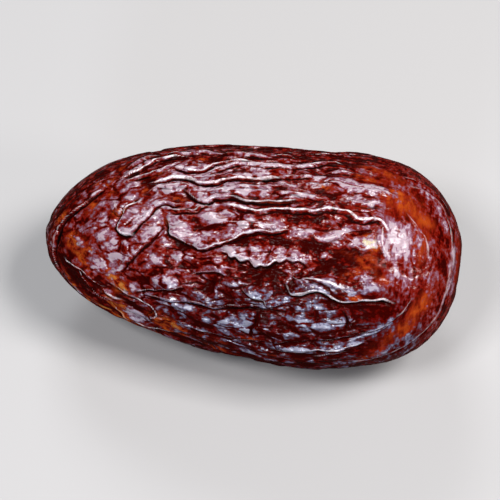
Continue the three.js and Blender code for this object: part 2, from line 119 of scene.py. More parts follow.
# Plates of skin between creases. They are fainter on the drawn side and towards both ends
PLATE_LENGTH = 6.5
PLATE_WIDTH = 2.7
PLATE_WARP = 0.55
PLATE_WARP_TURNS = 0.8
PLATE_LEVEL = 0.24
PLATE_RIM = 0.3
PLATE_CREASE = 0.95
SHARP = 16.0
SOFT = 1.8
DRAWN_SHARE = 0.3
DRAWN_FROM = -0.7
DRAWN_TO = -0.1
CALM_SHARE = 0.25
CALM_FROM = 9.0
CALM_TO = 15.0
TIP_CALM_FROM = -12.0
TIP_CALM_TO = -15.5

# Small wrinkles and grain, which only the fine skin has
WRINKLE_LENGTH = 2.6
WRINKLE_WIDTH = 1.0
WRINKLE_SHARE = 0.26
DRAWN_WRINKLES = 0.6
GRAIN_SIZE = 0.55
GRAIN_LIFT = 0.018

# Sections of the drawn folds
CREST_HALF = 0.16
CREST_SHARE = 0.32
SWELL_HALF = 0.8
GROOVE_HALF = 0.13
GROOVE_AWAY = 0.36
SHELF_REACH = 1.8
SHELF_EDGE = 0.07
SHELF_EDGE_LIMIT = 50
RIM_HALF = 0.1
RIM_SHARE = 0.05
FOLD_REACH = 4.5
FOLD_TAPER = 1.4
FOLD_PAST_END = FOLD_TAPER / 3
FOLD_STEP = 0.12

# How far what is drawn wanders, and over what length
FOLD_WOBBLE = 0.16
FOLD_WOBBLE_SIZE = 1.3
FINE_WOBBLE = 0.07
FINE_WOBBLE_SIZE = 0.5

# Pale lines on the crests, which are painted highlights, and dark lines in the creases, which are painted
# shade
LINE_HALF = 0.07
LINE_AWAY = 0.05
LINE_SPREAD = 2.7
CREASE_SHADE_HALF = 0.1
PALE_LIFT = 0.3
CREASE_SHADE_FULL = 0.22

# How folds and their lines change along their run
FOLD_CHANGE_SIZE = 1.8
STRONG_MEAN = 0.9
STRONG_SWING = 0.35
WORN_FROM = -0.6
WORN_TO = 0.1
DEEP_LEAST = 0.6
DEEP_FROM = -0.4
DEEP_TO = 0.3
THICK_MEAN = 0.8
THICK_SWING = 0.45
THICK_TURNS = 1.7

# Round-edged oval spots, for the mounds and the amber
SPOT_FLATNESS = 2.6
SPOT_FALL = 0.7
SPOT_DEPTH = 5.0
SMALL_TURN = 0.01

# Scar where the stem cap sat, and the nib of the tip
SCAR_RADIUS = 2.0
SCAR_DEPTH = 0.42
SCAR_RIM = 0.1
SCAR_RIM_AT = 1.4 * SCAR_RADIUS
SCAR_RIM_HALF = 0.45 * SCAR_RADIUS
SCAR_AMBER = 2.2
SCAR_BARE = 1.2
SCAR_BARE_HALF = 0.3 * SCAR_RADIUS
NIB_RADIUS = 0.8
NIB_HEIGHT = 0.15
NIB_SIDE = -LENGTH / 4

# The mesh starts as a cube with this many squares along an edge, drawn closer together on the drawn side
SQUARES = 128
CLOSER = 0.25
SAME_PLACE_DIGITS = 7

# How far the relief is smoothed to find what stands proud of it, in rounds of averaging
NEAR_ROUNDS = 6
FAR_ROUNDS = 90

# How much darker than bare skin the darkest places are, and how much paler the thickest bloom and painted
# sheen
BARE = 0.35
THICK = 1.25

# Bloom where nothing is drawn, and how much more of it, as painted highlight, each millimetre that stands
# proud there has
HIDDEN_BLOOM = 0.35
HIDDEN_PROUD_HIGHLIGHT = 2

# How amber the ends are where nothing is drawn, and how far out that starts
AMBER_SHARE = 0.8
AMBER_FROM = 0.6

# Where the skin turns to that of the stem end, and where low down at the front its bloom turns from warm to
# cool, a painted reflection of cool light, in metres
END_FROM = 0.0105
END_TO = 0.0145
COOL_FROM = -0.0062
COOL_TO = -0.0088

# How much steeper the step from dark to pale skin is than what adds up to it, and round which level
CONTRAST = 1.3
CONTRAST_MIDDLE = 0.42

# What adds up to how pale the skin is, from the least to the most of each, and cracks from high up to low down
BLOOM_SHARE = 0.7
PATCH_SHARES = (0.15, 0.31)
MOTTLE_SHARES = (-0.31, 0.31)
MOTTLE_LOW_DOWN = 1.2
STREAK_SHARES = (-0.26, 0.26)
GRAIN_SHARES = (-0.13, 0.13)
PLATE_SHARES = (-0.08, 0.08)
CRACK_SHARES = (-0.36, -0.6)
PLATE_RIM_SHARE = 0.18
# Painted shade in hollows and low places and by the creases, and painted highlight where the skin stands proud
# and along the crests
HOLLOW_SHADE_SHARE = -0.36
PROUD_HIGHLIGHT_SHARE = 0.19
LOW_PLACE_SHADE_SHARE = -0.15
CREST_HIGHLIGHT_SHARE = 0.06
CREASE_SHADE_SHARE = -0.2

# How deep and how high the relief is where those shares are full, in millimetres
FINE_DEPTH = -0.1
FINE_HEIGHT = 0.12
BROAD_DEPTH = -0.25

# Small plates in the material: how many fit into a metre, how drawn out they are, and how far their edges
# wander, in metres
SMALL_PLATES = 640
SMALL_PLATE_STRETCH = 2.2
SMALL_PLATE_WANDER = 0.0012
WANDER_TURNS = 1.4

# Where the crack and both sides of the rim of a small plate run, by how far in from its edge, which numbers
# make the darkest and the palest plates, and how far into the stem end they go on
CRACK_EDGE = (0.08, 0.02)
RIM_EDGE = (0.06, 0.12)
RIM_INSIDE = (0.22, 0.12)
PLATE_NUMBERS = (0.2, 0.8)
PLATES_UP_TO = 0.7

# How near a line of the drawn folds, a painted highlight on a crest or painted shade in a crease, has to be to
# show and to change the bloom round it, and how much of it is left between its beads
LINE_SHOWN = (0.78, 0.95)
LINE_ROUND = (0.2, 0.9)
CREST_BEAD_SHARES = (0.35, 1.0)
CREASE_BEAD_SHARES = (0.7, 1.0)

# Amber by how thin the skin is, partly a painted glow of light through it: how even it is at the stem end, how
# fast it gets paler, where it shows, how pale the skin is where bloom covers it, where it turns into a painted
# cream highlight, and where it tints the painted crest highlights
EVEN_AT_END = 0.35
GLOW_SHARE = 0.6
AMBER_SHOWN = (0.0, 0.8, 0.0, 0.9)
AMBER_COVERED = (0.8, 0.45)
CREAM_HIGHLIGHT_THIN = (0.8, 1.5)
CREAM_HIGHLIGHT_LEVEL = (0.55, 0.85)
GOLDEN_THIN = (0.3, 0.9, 0.0, 0.8)

# Roughness and wax, by how pale the skin is
GLOSS_LEVELS = (0.3, 0.8)
BLOOM_ROUGHER = 0.12
CREASE_ROUGHER = 0.5
WAX_LEVELS = (0.22, 0.65, 0.03, 1.0)
WAX_AT_END = 0.45

# Fine bump: the heights of its parts, what is left of them at the stem end, and how high it is in metres
CRINKLE_HEIGHT = 0.9
PORE_HEIGHT = 0.14
PLATE_EDGE_HEIGHT = (0.0, 0.2, 0.0, 0.3)
BUMP_AT_END = 0.4
BUMP_STRENGTH = 0.7
BUMP_DISTANCE = 0.00038

# Roughness of all noise in the material, and the middle of its colours
NOISE_ROUGHNESS = 0.6
NOISE_MIDDLE = (0.5, 0.5, 0.5)

# Colours of warm skin and of cool skin by how pale it is, the cool ones a painted reflection of cool light low
# down at the front, and of thin skin by how thin it is
# The paler warm stops, bloom, pale bloom and powder, carry painted sheen, and powder the painted highlights
WARM_STOPS = (
    (0.0, "deep"), (0.2, "flesh"), (0.36, "red"), (0.49, "film"), (0.63, "bloom_and_sheen"), (0.82, "pale_bloom_and_sheen"),
    (1.0, "powder_and_highlight"),
)
COOL_REFLECTION_STOPS = ((0.0, "deep"), (0.25, "flesh"), (0.45, "cool_reflected_film"), (0.75, "cool_reflected_bloom"), (1.0, "cool_reflected_powder"))
THIN_STOPS = ((0.0, "red"), (0.3, "rust"), (0.6, "amber"), (1.0, "honey"))

# Soft lights, as name, direction, distance, size, share of the main light's power, and colour
LIGHTS = (
    ("key", (0.5, -0.1, 0.85), 0.45, 0.16, 1, (1.0, 0.97, 0.95)),
    ("top", (-0.3, -0.4, 0.85), 0.45, 0.12, 0.6, (1.0, 0.98, 0.98)),
    ("back", (-0.2, 0.75, 0.65), 0.5, 0.18, 0.5, (0.97, 0.98, 1.0)),
    ("side", (0.95, -0.2, 0.4), 0.45, 0.06, 0.3, (1.0, 0.93, 0.9)),
    ("front", (-0.1, -0.97, 0.22), 0.45, 0.1, 0.45, (0.8, 0.88, 1.0)),
)

# The camera's sensor in millimetres, and how near and far it sees in metres
SENSOR_WIDTH = 36
NEAREST_SEEN = 0.01
FARTHEST_SEEN = 10


class Pattern(NamedTuple):
    """A pattern of the material.

    Scale is how many fit into a metre. Stretch and rings are how drawn out they are along the fruit and round
    it, and low and high are the range of the noise that is spread out.
    """

    scale: float
    stretch: float = 1.0
    rings: float = 1.0
    detail: float = 2.0
    low: float = 0.3
    high: float = 0.7


PATCHES = Pattern(330, stretch=1.6)
MOTTLE = Pattern(1150, stretch=1.5, detail=4.0, low=0.32, high=0.68)
STREAKS = Pattern(2100, rings=2.8, detail=4.0, low=0.32, high=0.68)
GRAIN = Pattern(2600, stretch=1.2, detail=1.0)
OPENINGS = Pattern(500, low=0.38, high=0.55)
AMBER_SPOTS = Pattern(1700, stretch=1.3, detail=4.0)
AMBER_RINGS = Pattern(1900, rings=2.8, detail=4.0)
CREST_BEADS = Pattern(2600, low=0.36, high=0.56)
CREASE_BEADS = Pattern(1900, low=0.3, high=0.5)
CRINKLES = Pattern(800, stretch=1.6, detail=3.0)
PORES = Pattern(2800, stretch=1.2)


class Fold(NamedTuple):
    """A drawn fold.

    A step raises the skin to the left of its path, or to the right where side is -1. A ridge is pinched up,
    and a groove is pressed in. A painted highlight, as pale as bright and twice as wide as line, is on its
    crest, and painted shade in its crease.
    """

    kind: str
    lift: float
    crease: float
    bright: float = 0.4
    line: float = LINE_HALF
    side: int = 1
    path: tuple = ()


# Folds of the upper front face. Their paths are on a sheet held square to the line of sight, with x along the
# fruit
FOLDS = [
    # long folds under the top edge
    Fold("ridge", 0.35, 0.25, bright=0.8,
         path=((-12.3, 8.2), (-11.2, 8.8), (-10, 9.3), (-8.5, 9.5), (-7, 9.6), (-5.5, 9.8), (-4.3, 9.95))),
    Fold("ridge", 0.3, 0.15,
         path=((-3.6, 9.9), (-2.5, 9.8), (-1, 9.75), (0.5, 9.8), (2.5, 10.1), (3.5, 10))),
    Fold("step", 0.3, 0.35,
         path=((-12.8, 7), (-11.6, 7.8), (-10.4, 8.5), (-9.6, 8.95), (-8.2, 9.15), (-6.8, 9.2))),
    Fold("ridge", 0.3, 0.2,
         path=((-12.5, 6.7), (-11.6, 7.2), (-10.8, 7.6), (-10, 7.8), (-9, 7.9), (-8.3, 8.3), (-7.4, 8.8))),
    Fold("step", 0.35, 0.4, bright=0.8, line=0.1,
         path=((-9.9, 6.75), (-8.8, 6.95), (-7.6, 7.3), (-6.4, 7.35), (-5.4, 7.1), (-4.2, 6.95),
               (-3.2, 7.05), (-2, 7.35), (-1, 7.5), (0, 7.55), (1.2, 7.65), (2.4, 7.75))),
    Fold("step", 0.25, 0.35, bright=0.8,
         path=((-7.9, 8.2), (-6.8, 8.05), (-5.4, 8.1), (-4.4, 8.4), (-3.2, 8.85), (-2, 9.05), (-0.3, 9.1))),
    Fold("ridge", 0.4, 0.25, bright=0.9, line=0.08,
         path=((-4.6, 7.95), (-3.4, 8.3), (-2, 8.7), (-0.5, 8.7), (1, 8.65), (2.2, 8.9), (3.5, 9.05),
               (5, 9.25), (6.5, 9.55), (7.8, 9.5))),
    Fold("ridge", 0.35, 0.2, path=((2.3, 7.9), (3.3, 8.05), (4.2, 8.2), (5, 8.1), (5.5, 7.8))),
    Fold("step", 0.35, 0.35,
         path=((-6.6, 6.1), (-5.9, 5.8), (-5.3, 5.4), (-4.7, 5.15), (-4.1, 5.15), (-3.6, 5.45), (-2.8, 5.6),
               (-1.8, 5.55), (-0.6, 5.3), (0.6, 5.2), (2, 5.35), (4, 5.5))),
    Fold("ridge", 0.3, 0.15, path=((-9.8, 6), (-9.1, 6.4), (-8, 6.5), (-7, 6.7), (-5.8, 6.5))),
    Fold("ridge", 0.28, 0.12,
         path=((-4, 6.2), (-2.4, 6.4), (-1, 6.7), (0.4, 6.8), (1.6, 6.75), (2.8, 6.9), (3.2, 7.3))),
    Fold("ridge", 0.25, 0.15, path=((2.9, 6.3), (3.8, 6.3), (5, 6.1), (6.6, 6))),
    Fold("step", 0.3, 0.25, bright=0.8, side=-1,
         path=((6.4, 7.6), (7.6, 7.55), (9, 7.35), (10.4, 7.1), (11.8, 7.05), (13.1, 6.75))),
    Fold("ridge", 0.2, 0.15, path=((8.7, 6.1), (9.5, 5.7), (10.4, 5.45), (11.4, 5.65), (12.1, 5.6))),
    Fold("ridge", 0.2, 0.1, path=((6.8, 8.6), (8.2, 8.7), (9.7, 8.6))),
    Fold("ridge", 0.2, 0.1, path=((2.5, 10.5), (4, 10.45), (6, 10.55), (8.6, 10.6))),
    # the long crest across the middle, and what runs into it from the left
    Fold("ridge", 0.5, 0.22, bright=1.0, line=0.13,
         path=((-2.5, 5.05), (-1.4, 4.8), (-0.4, 4.55), (0.8, 4.45), (2, 4.65), (3.3, 4.75), (4.6, 4.7),
               (5.8, 4.75), (7.1, 5), (8.1, 4.9), (9, 4.7), (9.6, 4.4), (10.1, 4.15), (11.4, 4.25),
               (12.2, 3.95), (12.7, 3.4))),
    Fold("ridge", 0.25, 0.1, bright=0.3,
         path=((12.2, 3.8), (12.3, 3.1), (12.3, 2.5), (12.6, 1.7), (13.1, 1.1))),
    Fold("ridge", 0.3, 0.25,
         path=((-7.6, 4.35), (-7, 4.2), (-6.2, 4.25), (-5.3, 4.25), (-4.8, 4.75), (-4.1, 5))),
    Fold("groove", 0.15, 0.45, bright=0.9, line=0.065,
         path=((-11.1, 1.55), (-10.6, 2.2), (-10.1, 2.9), (-9.6, 3.6), (-9.1, 4.3), (-8.6, 4.75), (-8, 4.8),
               (-7.4, 4.6), (-6.8, 4.55))),
    Fold("step", 0.35, 0.3, bright=0.8, line=0.12,
         path=((-11, 5.2), (-11.8, 4.6), (-12.3, 3.9), (-12.5, 3.3), (-12.65, 2.6), (-12.5, 1.9),
               (-11.9, 1.55), (-11.2, 1.55))),
    Fold("ridge", 0.3, 0.15, path=((-13.5, 4.5), (-13.2, 4), (-12.8, 3.8), (-12.2, 4.2), (-11.4, 5.1))),
    Fold("groove", 0.1, 0.2, bright=0.4, line=0.05,
         path=((-12.2, -2.2), (-11.5, -1.5), (-10.8, -0.8), (-10.2, 0), (-9.6, 0.7), (-9, 1.4), (-8.5, 2.1),
               (-8.2, 2.7))),
    Fold("step", 0.5, 0.42, bright=0.8,
         path=((-8.1, 3.6), (-7.8, 2.8), (-7.4, 2.1), (-6.9, 1.6), (-6.2, 1.3), (-5.3, 0.95), (-4.5, 0.7),
               (-3.8, 0.75), (-3, 1), (-2, 1.35), (-1.2, 1.7), (-0.6, 2.15), (0.2, 2.45), (1.2, 2.6),
               (2.3, 2.55), (3.7, 2.75))),
    Fold("ridge", 0.2, 0.1, path=((-4.4, 4), (-3, 3.4), (-1.6, 3.3), (0, 3.3), (1.6, 3.2), (3, 3.1))),
    # middle and lower plates
    Fold("step", 0.36, 0.3, bright=0.7, line=0.09,
         path=((-2.4, 0.4), (-1.8, 0.35), (-1.4, 0.05), (-0.9, 0.1), (-0.5, -0.25), (0.1, -0.1),
               (0.5, -0.4), (0.9, -0.7), (1.4, -0.45), (1.9, -0.65), (2.4, -0.5), (2.8, -0.1), (3.3, -0.2),
               (3.8, 0.1), (4.4, -0.1), (4.9, -0.05), (5.6, -0.5))),
    Fold("ridge", 0.15, 0.1, bright=0.1,
         path=((4.2, 2.5), (5.6, 2.9), (6.6, 2.3), (7.6, 2.4), (8.6, 2.7), (9.3, 2.5), (10, 1.8),
               (10.8, 1.4), (11.8, 1.7))),
    Fold("step", 0.25, 0.25, path=((-5, -1.8), (-4.2, -1.5), (-3.4, -1.4), (-2.6, -1.6), (-1.8, -1.8))),
    Fold("ridge", 0.25, 0.15, path=((-1.8, -2.4), (-0.9, -2.6), (0, -2.5))),
    Fold("step", 0.38, 0.35,
         path=((0, -3.1), (0.6, -3.7), (1.3, -3.8), (1.9, -3.9), (2.3, -4.4), (3, -4.4), (3.6, -3.9))),
    Fold("step", 0.48, 0.42, bright=1.0, line=0.15,
         path=((4, -2.4), (4.4, -3.05), (5.3, -3.15), (6.1, -2.9), (6.8, -2.7), (7.6, -2.95), (8.4, -3.4),
               (9.2, -3.55), (10.2, -3.45), (11.3, -3.25), (12.4, -3.2), (13.8, -3.4))),
    Fold("ridge", 0.28, 0.15,
         path=((4.2, -1.4), (5, -1.8), (6, -1.5), (7.2, -1.6), (8.2, -1.9), (9, -2.3), (9.7, -2.7))),
    Fold("step", 0.35, 0.35, path=((-10.2, -3.7), (-9.2, -3.5), (-8, -3.45), (-7, -3.3), (-6, -3))),
    Fold("groove", 0.12, 0.3, bright=0.1, line=0.05,
         path=((-9.8, -4), (-8, -4.4), (-6, -4.6), (-4, -4.9), (-2, -5), (0, -4.9), (2, -4.9), (4, -4.9))),
    Fold("groove", 0.15, 0.3, bright=0.1, line=0.05,
         path=((1.5, -4.9), (1.3, -6), (0.9, -6.8), (0.8, -7.7))),
    Fold("groove", 0.06, 0.25, line=0.04, path=((9.3, -4.5), (9.8, -5.4), (9.9, -6.6))),
    Fold("step", 0.32, 0.45, bright=0.1, line=0.05,
         path=((-6.4, -6.2), (-5, -6.8), (-3.6, -7.25), (-2.2, -7.5), (-0.8, -7.75), (0.6, -7.9), (2.4, -8),
               (4.2, -7.8), (6, -7.6), (8, -7.35), (9.6, -7), (11, -6.6), (12.4, -6), (13.6, -5.2),
               (14.6, -4.2))),
    Fold("ridge", 0.32, 0.15,
         path=((3.1, -8.75), (4.6, -8.6), (6.2, -8.45), (7.8, -8.2), (9.2, -7.95), (10.4, -7.65),
               (11.6, -7.3))),
    Fold("ridge", 0.2, 0.1, path=((7.2, -9), (8.4, -8.6), (9.6, -8.5))),
    # folds that round the two ends
    Fold("ridge", 0.32, 0.2,
         path=((-17.8, -1), (-16.6, -1.7), (-15.6, -2.1), (-14.8, -2.6), (-14.1, -3.1), (-13.5, -3.7),
               (-12.9, -4.2), (-11.8, -4.8))),
    Fold("ridge", 0.4, 0.25,
         path=((-16.4, -2.1), (-15.4, -2.8), (-14.7, -3.4), (-14.2, -4), (-13.5, -4.7))),
    Fold("ridge", 0.32, 0.25,
         path=((-12.6, -3.3), (-11.4, -3.9), (-10.2, -4.4), (-9.3, -4.9), (-8.7, -5.4), (-8.5, -6),
               (-9.2, -6.6))),
    Fold("ridge", 0.28, 0.2,
         path=((-13.1, -5), (-12.3, -5.7), (-11.4, -6.3), (-10.2, -6.8), (-8.6, -7.3), (-6.6, -7.7))),
    Fold("step", 0.22, 0.32, bright=0.3, line=0.055, side=-1,
         path=((-14.7, 5.9), (-15.6, 5.1), (-16.4, 4.4), (-17.2, 3.8), (-18, 3), (-18.6, 2), (-19, 1),
               (-19.1, 0), (-18.9, -1), (-18.4, -2.1))),
    Fold("ridge", 0.14, 0.12, bright=0.1, line=0.06,
         path=((-14.6, 7.1), (-15.8, 6.1), (-17, 5.1), (-17.8, 4.2), (-18.5, 3.3), (-19.2, 2.2))),
    Fold("ridge", 0.09, 0.1, bright=0.25, line=0.1, side=-1,
         path=((14.4, 7.8), (16, 7.2), (17, 6.6), (17.7, 5.9), (18.2, 4.9), (18.6, 3.6), (18.9, 2),
               (19, 0.2), (18.9, -1.6), (18.6, -3.2), (17.9, -4.7), (17, -5.9), (15.8, -7), (14.3, -8),
               (12.4, -8.8), (10.4, -9.4))),
    Fold("ridge", 0.12, 0.05, path=((14.6, 4.8), (15.4, 4), (16.1, 3.1), (16.6, 2.2), (16.8, 1.2))),
    Fold("ridge", 0.16, 0.1, path=((10.8, -6.9), (12.2, -6.3), (13.6, -5.3), (14.8, -4.2), (15.6, -3.1))),
    Fold("ridge", 0.14, 0.05, path=((14, 8.6), (15.6, 8), (17, 7.1), (18.2, 5.8))),
    Fold("ridge", 0.08, 0.3, bright=0.4, line=0.09,
         path=((-17.9, -2.6), (-17, -3.6), (-16, -4.4), (-14.6, -5.2), (-13.4, -5.8), (-12.3, -6.25),
               (-11.4, -6.7))),
]

